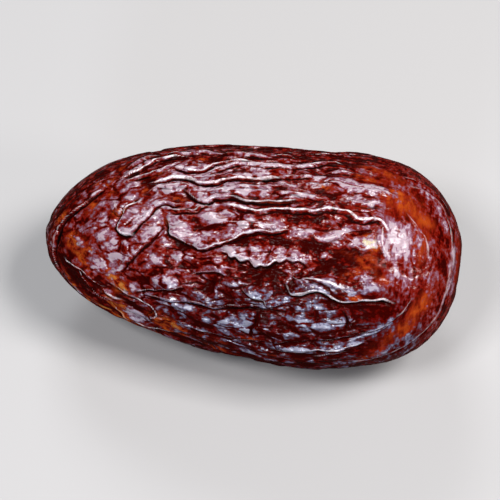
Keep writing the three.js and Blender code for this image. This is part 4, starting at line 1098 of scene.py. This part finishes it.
def smoothed(values, faces, rounds):
    """Values after some rounds of averaging with their neighbours."""
    starts, ends = faces.ravel(), np.roll(faces, -1, axis=1).ravel()
    count = np.bincount(starts, minlength=len(values)) + np.bincount(ends, minlength=len(values))
    for _ in range(rounds):
        total = np.bincount(starts, values[ends], len(values))
        total += np.bincount(ends, values[starts], len(values))
        values = (values + total / count) / 2
    return values


def fit_to(points, box):
    """Points stretched by the little that it takes to fill a box."""
    low, high = points.min(axis=0), points.max(axis=0)
    corner, far = np.array(box[0]), np.array(box[1])
    return corner + (points - low) * (far - corner) / (high - low)


def fruit_geometry():
    """Points, faces and the values that the material reads at each point."""
    ball, faces = cube_ball(SQUARES)
    ball += CLOSER * np.array([0, -math.cos(SIGHT), math.sin(SIGHT)])
    ball /= np.linalg.norm(ball, axis=1, keepdims=True)
    x = np.clip(ball[:, 0], -1, 1) * LENGTH / 2
    turn = np.arctan2(ball[:, 2], ball[:, 1])
    smooth = body_points(x, turn)
    height, values = relief(x, turn, smooth)
    skin = smooth + normals_of(smooth, faces) * height[:, None]
    skin[:, 2] = np.maximum(0, skin[:, 2])
    values["fine_relief"] = height - smoothed(height, faces, NEAR_ROUNDS)
    values["broad_relief"] = height - smoothed(height, faces, FAR_ROUNDS)
    hidden = 1 - values.pop("drawn")
    # Where nothing is drawn, more bloom where the skin stands proud and less where it lies low: painted
    # highlight and shade
    bloom_and_sheen = values["bloom_and_sheen"] + hidden * (HIDDEN_BLOOM + HIDDEN_PROUD_HIGHLIGHT * values["broad_relief"])
    values["bloom_and_sheen"] = np.where(bloom_and_sheen > 0, THICK * (1 - np.exp(-bloom_and_sheen / THICK)), np.maximum(bloom_and_sheen, -BARE))
    return fit_to(skin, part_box(NODE)), faces, values


def fruit_mesh(name):
    """The fruit as a Blender mesh with its values as attributes."""
    points, faces, values = fruit_geometry()
    mesh = bpy.data.meshes.new(name)
    mesh.from_pydata(points.tolist(), [], faces.tolist())
    mesh.shade_smooth()
    for label, value in values.items():
        attribute = mesh.attributes.new(label, "FLOAT", "POINT")
        attribute.data.foreach_set("value", value.astype(np.float32))
    mesh.validate()
    return mesh


# The skin's material


class NodeMaker:
    """Adds nodes to a material and links them, from left to right."""

    def __init__(self, material):
        material.use_nodes = True
        self.nodes = material.node_tree.nodes
        self.links = material.node_tree.links
        self.nodes.clear()

    def put(self, socket, value):
        """Link a socket to another, or set it to a plain value."""
        if isinstance(value, bpy.types.NodeSocket):
            self.links.new(value, socket)
        else:
            socket.default_value = value

    def add(self, kind, inputs=None, **settings):
        """A new node with its settings and inputs."""
        node = self.nodes.new(kind)
        for name, value in settings.items():
            setattr(node, name, value)
        for name, value in (inputs or {}).items():
            self.put(node.inputs[name], value)
        return node

    def value(self, name):
        """A value that the mesh holds at each point."""
        return self.add("ShaderNodeAttribute", attribute_name=name).outputs["Fac"]

    def math(self, operation, *values):
        """The outcome of a sum on values."""
        node = self.add("ShaderNodeMath", operation=operation)
        for socket, value in zip(node.inputs, values):
            self.put(socket, value)
        return node.outputs[0]

    def vector(self, operation, inputs):
        """The outcome of a sum on places."""
        return self.add("ShaderNodeVectorMath", inputs, operation=operation).outputs[0]

    def sum(self, *values):
        """Values added up."""
        total = values[0]
        for value in values[1:]:
            total = self.math("ADD", total, value)
        return total

    def product(self, *values):
        """Values multiplied with each other."""
        total = values[0]
        for value in values[1:]:
            total = self.math("MULTIPLY", total, value)
        return total

    def span(self, value, low, high, start=0.0, end=1.0):
        """A value taken smoothly from one range to another."""
        inputs = {"Value": value, "From Min": low, "From Max": high, "To Min": start, "To Max": end}
        return self.add("ShaderNodeMapRange", inputs, interpolation_type="SMOOTHSTEP").outputs["Result"]

    def place(self, stretch=1.0, rings=1.0):
        """The place on the skin, for patterns drawn out along the fruit or into rings round its axis."""
        place = self.add("ShaderNodeTexCoord").outputs["Object"]
        share = (1 / stretch, 1 / rings, 1 / rings)
        return self.add("ShaderNodeMapping", {"Vector": place, "Scale": share}).outputs[0]

    def cloud(self, pattern):
        """The noise of a pattern over the skin."""
        return self.add("ShaderNodeTexNoise", {
            "Vector": self.place(pattern.stretch, pattern.rings),
            "Scale": pattern.scale,
            "Detail": pattern.detail,
            "Roughness": NOISE_ROUGHNESS,
        }).outputs["Fac"]

    def spread(self, pattern, start=0.0, end=1.0):
        """The noise of a pattern, spread from a start value to an end value."""
        return self.span(self.cloud(pattern), pattern.low, pattern.high, start, end)

    def cells(self, scale, stretch, wander):
        """Small plates with wandering edges: a number for each, and how far in from the edge."""
        place = self.place(stretch)
        inputs = {"Vector": place, "Scale": scale * WANDER_TURNS, "Detail": 2.0}
        noise = self.add("ShaderNodeTexNoise", inputs).outputs["Color"]
        push = self.vector("SUBTRACT", {0: noise, 1: NOISE_MIDDLE})
        push = self.vector("SCALE", {0: push, "Scale": wander})
        inputs = {"Vector": self.vector("ADD", {0: place, 1: push}), "Scale": scale}
        number = self.add("ShaderNodeTexVoronoi", inputs).outputs["Color"]
        edge = self.add("ShaderNodeTexVoronoi", inputs, feature="DISTANCE_TO_EDGE").outputs["Distance"]
        # Adding nothing turns the colour into one number
        return self.math("ADD", number, 0.0), edge

    def shades(self, value, stops, settings):
        """A value from 0 to 1 as a colour, between stops that each hold a place and the name of a colour."""
        node = self.add("ShaderNodeValToRGB", {"Fac": value})
        first, *middle, last = ((place, opaque(getattr(settings, name))) for place, name in stops)
        elements = node.color_ramp.elements
        elements[0].position, elements[0].color = first
        elements[1].position, elements[1].color = last
        for place, colour in middle:
            elements.new(place).color = colour
        return node.outputs["Color"]

    def mix_value(self, share, first, second):
        """A value between two, by a share from 0 to 1."""
        node = self.add("ShaderNodeMix")
        self.put(node.inputs[0], share)
        self.put(node.inputs[2], first)
        self.put(node.inputs[3], second)
        return node.outputs[0]

    def mix(self, share, first, second):
        """A colour between two, by a share from 0 to 1."""
        node = self.add("ShaderNodeMix", data_type="RGBA")
        self.put(node.inputs[0], share)
        self.put(node.inputs[6], first)
        self.put(node.inputs[7], second)
        return node.outputs[2]


def opaque(colour):
    """A colour with its alpha."""
    return (*colour, 1.0)


def line_mask(maker, name, beads):
    """Where a line of the drawn folds is, broken into beads."""
    near = maker.span(maker.value(name + "_near"), *LINE_SHOWN)
    return maker.product(near, maker.value(name + "_share"), beads)


def skin_place_masks(maker):
    """Where the skin is at the stem end, and where it is low down at the front, which gets a painted
    reflection of cool light.
    """
    place = maker.add("ShaderNodeTexCoord").outputs["Object"]
    axes = maker.add("ShaderNodeSeparateXYZ", {"Vector": place}).outputs
    return maker.span(axes["X"], END_FROM, END_TO), maker.span(axes["Y"], COOL_FROM, COOL_TO)


def skin_level(maker, end, low, cells):
    """How pale the skin is, from 0 in the darkest hollows to 1 where the bloom is thickest, with painted shade
    in hollows and by creases and painted highlight where it stands proud and on crests.
    """
    bloom_and_sheen = maker.product(maker.value("bloom_and_sheen"), BLOOM_SHARE)
    patches = maker.spread(PATCHES, *PATCH_SHARES)
    stronger = maker.span(low, 0.0, 1.0, 1.0, MOTTLE_LOW_DOWN)
    mottle = maker.product(maker.spread(MOTTLE, *MOTTLE_SHARES), stronger)
    streaks = maker.spread(STREAKS, *STREAK_SHARES)
    grain = maker.spread(GRAIN, *GRAIN_SHARES)
    pale = maker.sum(bloom_and_sheen, patches, maker.mix_value(end, mottle, streaks), grain)
    level = maker.sum(pale, proud_share(maker), plate_share(maker, end, low, cells), fold_share(maker))
    return maker.math("MULTIPLY_ADD", level, CONTRAST, CONTRAST_MIDDLE * (1 - CONTRAST))


def proud_share(maker):
    """What the relief adds to how pale the skin is: painted shade in hollows and low places, painted highlight
    where it stands proud.
    """
    fine, broad = maker.value("fine_relief"), maker.value("broad_relief")
    hollow_shade = maker.span(fine, FINE_DEPTH, 0.0, HOLLOW_SHADE_SHARE, 0.0)
    proud_highlight = maker.span(fine, 0.0, FINE_HEIGHT, 0.0, PROUD_HIGHLIGHT_SHARE)
    return maker.sum(hollow_shade, proud_highlight, maker.span(broad, BROAD_DEPTH, 0.0, LOW_PLACE_SHADE_SHARE, 0.0))


def plate_share(maker, end, low, cells):
    """What the small plates add: a tone each, dark cracks and pale rims by them, but not at the stem end."""
    number, edge = cells
    own = maker.span(number, *PLATE_NUMBERS, *PLATE_SHARES)
    opened = maker.spread(OPENINGS)
    depth = maker.product(opened, maker.span(low, 0.0, 1.0, *CRACK_SHARES))
    crack = maker.product(maker.span(edge, *CRACK_EDGE), depth)
    rim = maker.product(maker.span(edge, *RIM_EDGE), maker.span(edge, *RIM_INSIDE), opened, PLATE_RIM_SHARE)
    return maker.product(maker.sum(own, crack, rim), maker.span(end, 0.0, PLATES_UP_TO, 1.0, 0.0))


def fold_share(maker):
    """What the drawn folds add: a little painted highlight along the crests, and painted shade by the creases.
    """
    by_crest = maker.span(maker.value("pale_near"), *LINE_ROUND)
    by_crease = maker.span(maker.value("crease_shade_near"), *LINE_ROUND)
    crest_highlight = maker.product(by_crest, maker.value("pale_share"), CREST_HIGHLIGHT_SHARE)
    return maker.sum(crest_highlight, maker.product(by_crease, maker.value("crease_shade_share"), CREASE_SHADE_SHARE))


def thin_skin(maker, end):
    """How thin the skin is, in spots, and in rings at the stem end."""
    spotted = maker.mix_value(end, maker.cloud(AMBER_SPOTS), maker.cloud(AMBER_RINGS))
    even = maker.product(end, EVEN_AT_END)
    return maker.product(maker.value("amber"), maker.span(spotted, AMBER_SPOTS.low, AMBER_SPOTS.high, even))


def skin_colour(maker, settings, level, end, low, crest, crease):
    """Dark flesh, red flesh and ever paler bloom with painted sheen by how pale the skin is, with a painted
    cool reflection low down, amber partly painted glow, painted cream highlights, painted shade in the creases
    and painted highlights on the crests.
    """
    warm = maker.shades(level, WARM_STOPS, settings)
    # Low down at the front, a painted reflection of cool light turns the skin cool
    cool = maker.shades(level, COOL_REFLECTION_STOPS, settings)
    colour = maker.mix(low, warm, cool)
    thin = thin_skin(maker, end)
    # Amber of thin skin, partly a painted glow of light through it
    glow = maker.shades(maker.product(thin, GLOW_SHARE), THIN_STOPS, settings)
    shown = maker.product(maker.span(thin, *AMBER_SHOWN), maker.span(level, *AMBER_COVERED))
    colour = maker.mix(shown, colour, glow)
    # Painted cream highlight where thin skin meets thick bloom
    cream_highlight_share = maker.product(maker.span(thin, *CREAM_HIGHLIGHT_THIN), maker.span(level, *CREAM_HIGHLIGHT_LEVEL))
    colour = maker.mix(cream_highlight_share, colour, opaque(settings.cream_highlight))
    # Painted shade in the creases
    colour = maker.mix(crease, colour, opaque(settings.crease))
    # Painted highlight on the crests, tinted honey where the skin is thin
    golden = maker.span(thin, *GOLDEN_THIN)
    ridge = maker.mix(golden, opaque(settings.crest), opaque(settings.honey))
    return maker.mix(maker.product(crest, settings.crest_highlight_strength), colour, ridge)


def skin_bump(maker, end, cells):
    """Crinkles, pores and the edges of the small plates, softer at the stem end."""
    edges = maker.span(cells[1], *PLATE_EDGE_HEIGHT)
    crinkles = maker.product(maker.cloud(CRINKLES), CRINKLE_HEIGHT)
    pores = maker.product(maker.cloud(PORES), PORE_HEIGHT)
    height = maker.product(maker.sum(crinkles, pores, edges), maker.span(end, 0.0, 1.0, 1.0, BUMP_AT_END))
    inputs = {"Height": height, "Strength": BUMP_STRENGTH, "Distance": BUMP_DISTANCE}
    return maker.add("ShaderNodeBump", inputs).outputs[0]


def skin_material(settings):
    """Dark glossy skin under bloom and painted sheen, amber where it is thin, with painted highlights on its
    crests and painted shade in its creases.
    """
    material = bpy.data.materials.new("date_skin")
    maker = NodeMaker(material)
    end, low = skin_place_masks(maker)
    cells = maker.cells(SMALL_PLATES, SMALL_PLATE_STRETCH, SMALL_PLATE_WANDER)
    level = skin_level(maker, end, low, cells)
    # Lines of painted highlight on the crests
    crest = line_mask(maker, "pale", maker.spread(CREST_BEADS, *CREST_BEAD_SHARES))
    # Lines of painted shade in the creases
    crease = line_mask(maker, "crease_shade", maker.spread(CREASE_BEADS, *CREASE_BEAD_SHARES))
    gloss = maker.span(level, *GLOSS_LEVELS, settings.gloss, settings.gloss + BLOOM_ROUGHER)
    out_of_crease = maker.math("SUBTRACT", 1.0, crease)
    away_from_end = maker.span(end, 0.0, 1.0, 1.0, WAX_AT_END)
    wax = maker.product(out_of_crease, maker.span(level, *WAX_LEVELS), away_from_end)
    bump = skin_bump(maker, end, cells)
    shader = maker.add("ShaderNodeBsdfPrincipled", {
        "Base Color": skin_colour(maker, settings, level, end, low, crest, crease),
        "Roughness": maker.sum(gloss, maker.product(crease, CREASE_ROUGHER)),
        "Normal": bump,
        "IOR": 1.5,
        "Specular IOR Level": 0.02,
        "Subsurface Weight": 0.12,
        "Subsurface Radius": (1.0, 0.15, 0.08),
        "Subsurface Scale": 0.001,
        "Coat Weight": wax,
        "Coat Roughness": 0.12,
        "Coat Normal": bump,
    })
    maker.add("ShaderNodeOutputMaterial", {"Surface": shader.outputs[0]})
    return material


# The stage


def floor_object(settings):
    """The floor, pale where the camera sees it and darker for the light that it throws back."""
    size = settings.floor_size
    corners = [(-size, -size, 0), (size, -size, 0), (size, size, 0), (-size, size, 0)]
    mesh = bpy.data.meshes.new("pale_floor")
    mesh.from_pydata(corners, [], [(0, 1, 2, 3)])
    floor = bpy.data.objects.new("pale_floor", mesh)
    material = bpy.data.materials.new("pale_floor")
    maker = NodeMaker(material)
    seen = maker.add("ShaderNodeLightPath").outputs["Is Camera Ray"]
    colour = maker.mix(seen, opaque(settings.floor_return), opaque(settings.floor_colour))
    shader = maker.add("ShaderNodeBsdfPrincipled", {"Base Color": colour, "Roughness": 0.7})
    maker.add("ShaderNodeOutputMaterial", {"Surface": shader.outputs[0]})
    mesh.materials.append(material)
    return floor


def soft_light(name, direction, distance, size, power, colour):
    """A square area light that looks at the fruit from a direction."""
    lamp = bpy.data.lights.new(name, "AREA")
    lamp.size = size
    lamp.energy = power
    lamp.color = colour
    light = bpy.data.objects.new(name, lamp)
    way = Vector(direction).normalized()
    light.location = way * distance
    light.rotation_euler = way.to_track_quat("Z", "Y").to_euler()
    light.visible_camera = False
    bpy.context.collection.objects.link(light)


def pale_world(settings):
    """Pale where the camera sees it, and dimmer for what it lights."""
    world = bpy.data.worlds.new("soft_room")
    world.use_nodes = True
    nodes, links = world.node_tree.nodes, world.node_tree.links
    nodes.clear()
    seen = nodes.new("ShaderNodeLightPath").outputs["Is Camera Ray"]
    dim, pale = nodes.new("ShaderNodeBackground"), nodes.new("ShaderNodeBackground")
    dim.inputs["Color"].default_value = opaque(settings.room_colour)
    dim.inputs["Strength"].default_value = settings.room_strength
    pale.inputs["Color"].default_value = opaque(settings.backdrop_colour)
    blend = nodes.new("ShaderNodeMixShader")
    output = nodes.new("ShaderNodeOutputWorld")
    links.new(seen, blend.inputs[0])
    links.new(dim.outputs[0], blend.inputs[1])
    links.new(pale.outputs[0], blend.inputs[2])
    links.new(blend.outputs[0], output.inputs["Surface"])
    return world


def camera_object(settings):
    """A long lens that looks down on the fruit as the photograph does."""
    low, high = MODEL_BOX
    centre = (low + high) / 2
    level = math.cos(SIGHT)
    back = Vector((math.sin(SIGHT_TURN) * level, -math.cos(SIGHT_TURN) * level, math.sin(SIGHT)))
    lens = bpy.data.cameras.new("view")
    camera = bpy.data.objects.new("view", lens)
    camera.location = centre + back * settings.camera_distance
    camera.rotation_euler = back.to_track_quat("Z", "Y").to_euler()
    lens.sensor_width = SENSOR_WIDTH
    lens.lens = lens.sensor_width * settings.camera_distance * settings.fill / (high.x - low.x)
    lens.clip_start = NEAREST_SEEN
    lens.clip_end = FARTHEST_SEEN
    return camera


# The add-on


def colour_setting(name, description, default):
    """A colour among the add-on's settings."""
    return bpy.props.FloatVectorProperty(
        name=name, description=description, default=default, size=3, subtype="COLOR", min=0, max=1)


def share_setting(name, description, default, least=0):
    """A share of up to 1 among the add-on's settings."""
    return bpy.props.FloatProperty(
        name=name, description=description, default=default, min=least, max=1, subtype="FACTOR")


class DateSkinSettings(bpy.types.PropertyGroup):
    # The darkest stop, to which painted shade in the hollows brings the skin
    deep: colour_setting("Deep flesh", "Colour of the skin in the hollows", tone(46, 2, 1))
    flesh: colour_setting("Flesh", "Colour of the bare skin", tone(84, 6, 3))
    red: colour_setting("Red flesh", "Colour of the bare skin where light gets into it", tone(111, 19, 9))
    film: colour_setting("Film", "Colour of the first film of bloom", tone(109, 36, 34))
    # Bloom, pale bloom and powder are bloom with painted sheen, powder with painted highlights
    bloom_and_sheen: colour_setting("Bloom", "Colour of the bloom on raised plates", tone(116, 66, 78))
    pale_bloom_and_sheen: colour_setting("Pale bloom", "Colour of the bloom where it is thick", tone(133, 94, 113))
    powder_and_highlight: colour_setting("Powder", "Colour of the bloom where it is thickest", tone(172, 152, 162))
    # The cool colours paint a reflection of cool light on the skin low down at the front
    cool_reflected_film: colour_setting("Cool film", "Colour of the film low down on the fruit", tone(65, 34, 42))
    cool_reflected_bloom: colour_setting("Cool bloom", "Colour of the bloom low down on the fruit", tone(98, 93, 118))
    cool_reflected_powder: colour_setting("Cool powder", "Colour of the thickest bloom low down", tone(144, 144, 162))
    rust: colour_setting("Rust", "Colour where the skin gets thin", tone(131, 36, 13))
    amber: colour_setting("Amber", "Colour where the skin is thin, at both ends", tone(160, 65, 19))
    honey: colour_setting("Honey", "Colour where the skin is thinnest", tone(186, 117, 54))
    # Cream is a painted highlight
    cream_highlight: colour_setting("Cream", "Colour where the skin is thinnest under thick bloom", tone(198, 184, 152))
    # Painted highlight on the ridges, and how strong it is
    crest: colour_setting("Crest", "Colour of the pinched ridges", tone(238, 228, 234))
    # Painted shade in the creases
    crease: colour_setting("Crease", "Colour down in the creases", tone(8, 1, 1))
    crest_highlight_strength: share_setting("Crest share", "How pale the ridges are", 0.9)
    gloss: share_setting("Roughness", "Roughness of the bare skin", 0.2)


class DateStageSettings(bpy.types.PropertyGroup):
    floor_colour: colour_setting("Floor", "Colour of the floor", (0.45, 0.45, 0.455))
    backdrop_colour: colour_setting("Backdrop", "Colour behind the floor", (0.86, 0.86, 0.87))
    floor_return: colour_setting(
        "Floor return", "Colour of the light that the floor throws back", (0.055, 0.025, 0.022))
    room_colour: colour_setting("Room", "Colour of the room's light", (0.8, 0.88, 1.0))
    room_strength: bpy.props.FloatProperty(
        name="Room strength", description="Strength of the room's light", default=0.02, min=0)
    key_power: bpy.props.FloatProperty(
        name="Key power", description="Power of the main light", default=1.9, min=0, unit="POWER")
    floor_size: bpy.props.FloatProperty(
        name="Floor size", description="Half the floor's side", default=3.0, min=0.1, unit="LENGTH")
    camera_distance: bpy.props.FloatProperty(
        name="Camera distance", description="From camera to fruit", default=0.26, min=0.05, unit="LENGTH")
    fill: share_setting("Fill", "How much of the picture's width the fruit fills", 0.84, least=0.1)


class DATE_OT_fruit(bpy.types.Operator):
    """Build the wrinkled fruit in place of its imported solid"""

    bl_idname = "dried_date.fruit"
    bl_label = "Wrinkled Fruit"

    def execute(self, context):
        mesh = fruit_mesh("wrinkled_date")
        mesh.materials.append(skin_material(context.scene.date_skin))
        fruit = bpy.data.objects.new("wrinkled_date", mesh)
        context.collection.objects.link(fruit)
        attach(fruit, BODY)
        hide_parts(NODE)
        return {"FINISHED"}


class DATE_OT_stage(bpy.types.Operator):
    """Add the floor, the soft lights, the room and the camera"""

    bl_idname = "dried_date.stage"
    bl_label = "Stage"

    def execute(self, context):
        settings = context.scene.date_stage
        floor = floor_object(settings)
        context.collection.objects.link(floor)
        for name, direction, distance, size, share, colour in LIGHTS:
            soft_light(name, direction, distance, size, settings.key_power * share, colour)
        context.scene.world = pale_world(settings)
        camera = camera_object(settings)
        context.collection.objects.link(camera)
        context.scene.camera = camera
        context.scene.view_settings.view_transform = "Standard"
        return {"FINISHED"}


class DATE_PT_panel(bpy.types.Panel):
    bl_label = "Dried Date"
    bl_idname = "DATE_PT_panel"
    bl_space_type = "VIEW_3D"
    bl_region_type = "UI"
    bl_category = "Dried Date"

    def draw(self, context):
        scene = context.scene
        for settings, operator in ((scene.date_skin, DATE_OT_fruit), (scene.date_stage, DATE_OT_stage)):
            for name in settings.__annotations__:
                self.layout.prop(settings, name)
            self.layout.operator(operator.bl_idname)


CLASSES = (DateSkinSettings, DateStageSettings, DATE_OT_fruit, DATE_OT_stage, DATE_PT_panel)


def register():
    for cls in CLASSES:
        bpy.utils.register_class(cls)
    bpy.types.Scene.date_skin = bpy.props.PointerProperty(type=DateSkinSettings)
    bpy.types.Scene.date_stage = bpy.props.PointerProperty(type=DateStageSettings)


def unregister():
    del bpy.types.Scene.date_stage
    del bpy.types.Scene.date_skin
    for cls in reversed(CLASSES):
        bpy.utils.unregister_class(cls)


def main():
    register()
    bpy.ops.dried_date.fruit()
    bpy.ops.dried_date.stage()


if __name__ == "__main__":
    main()
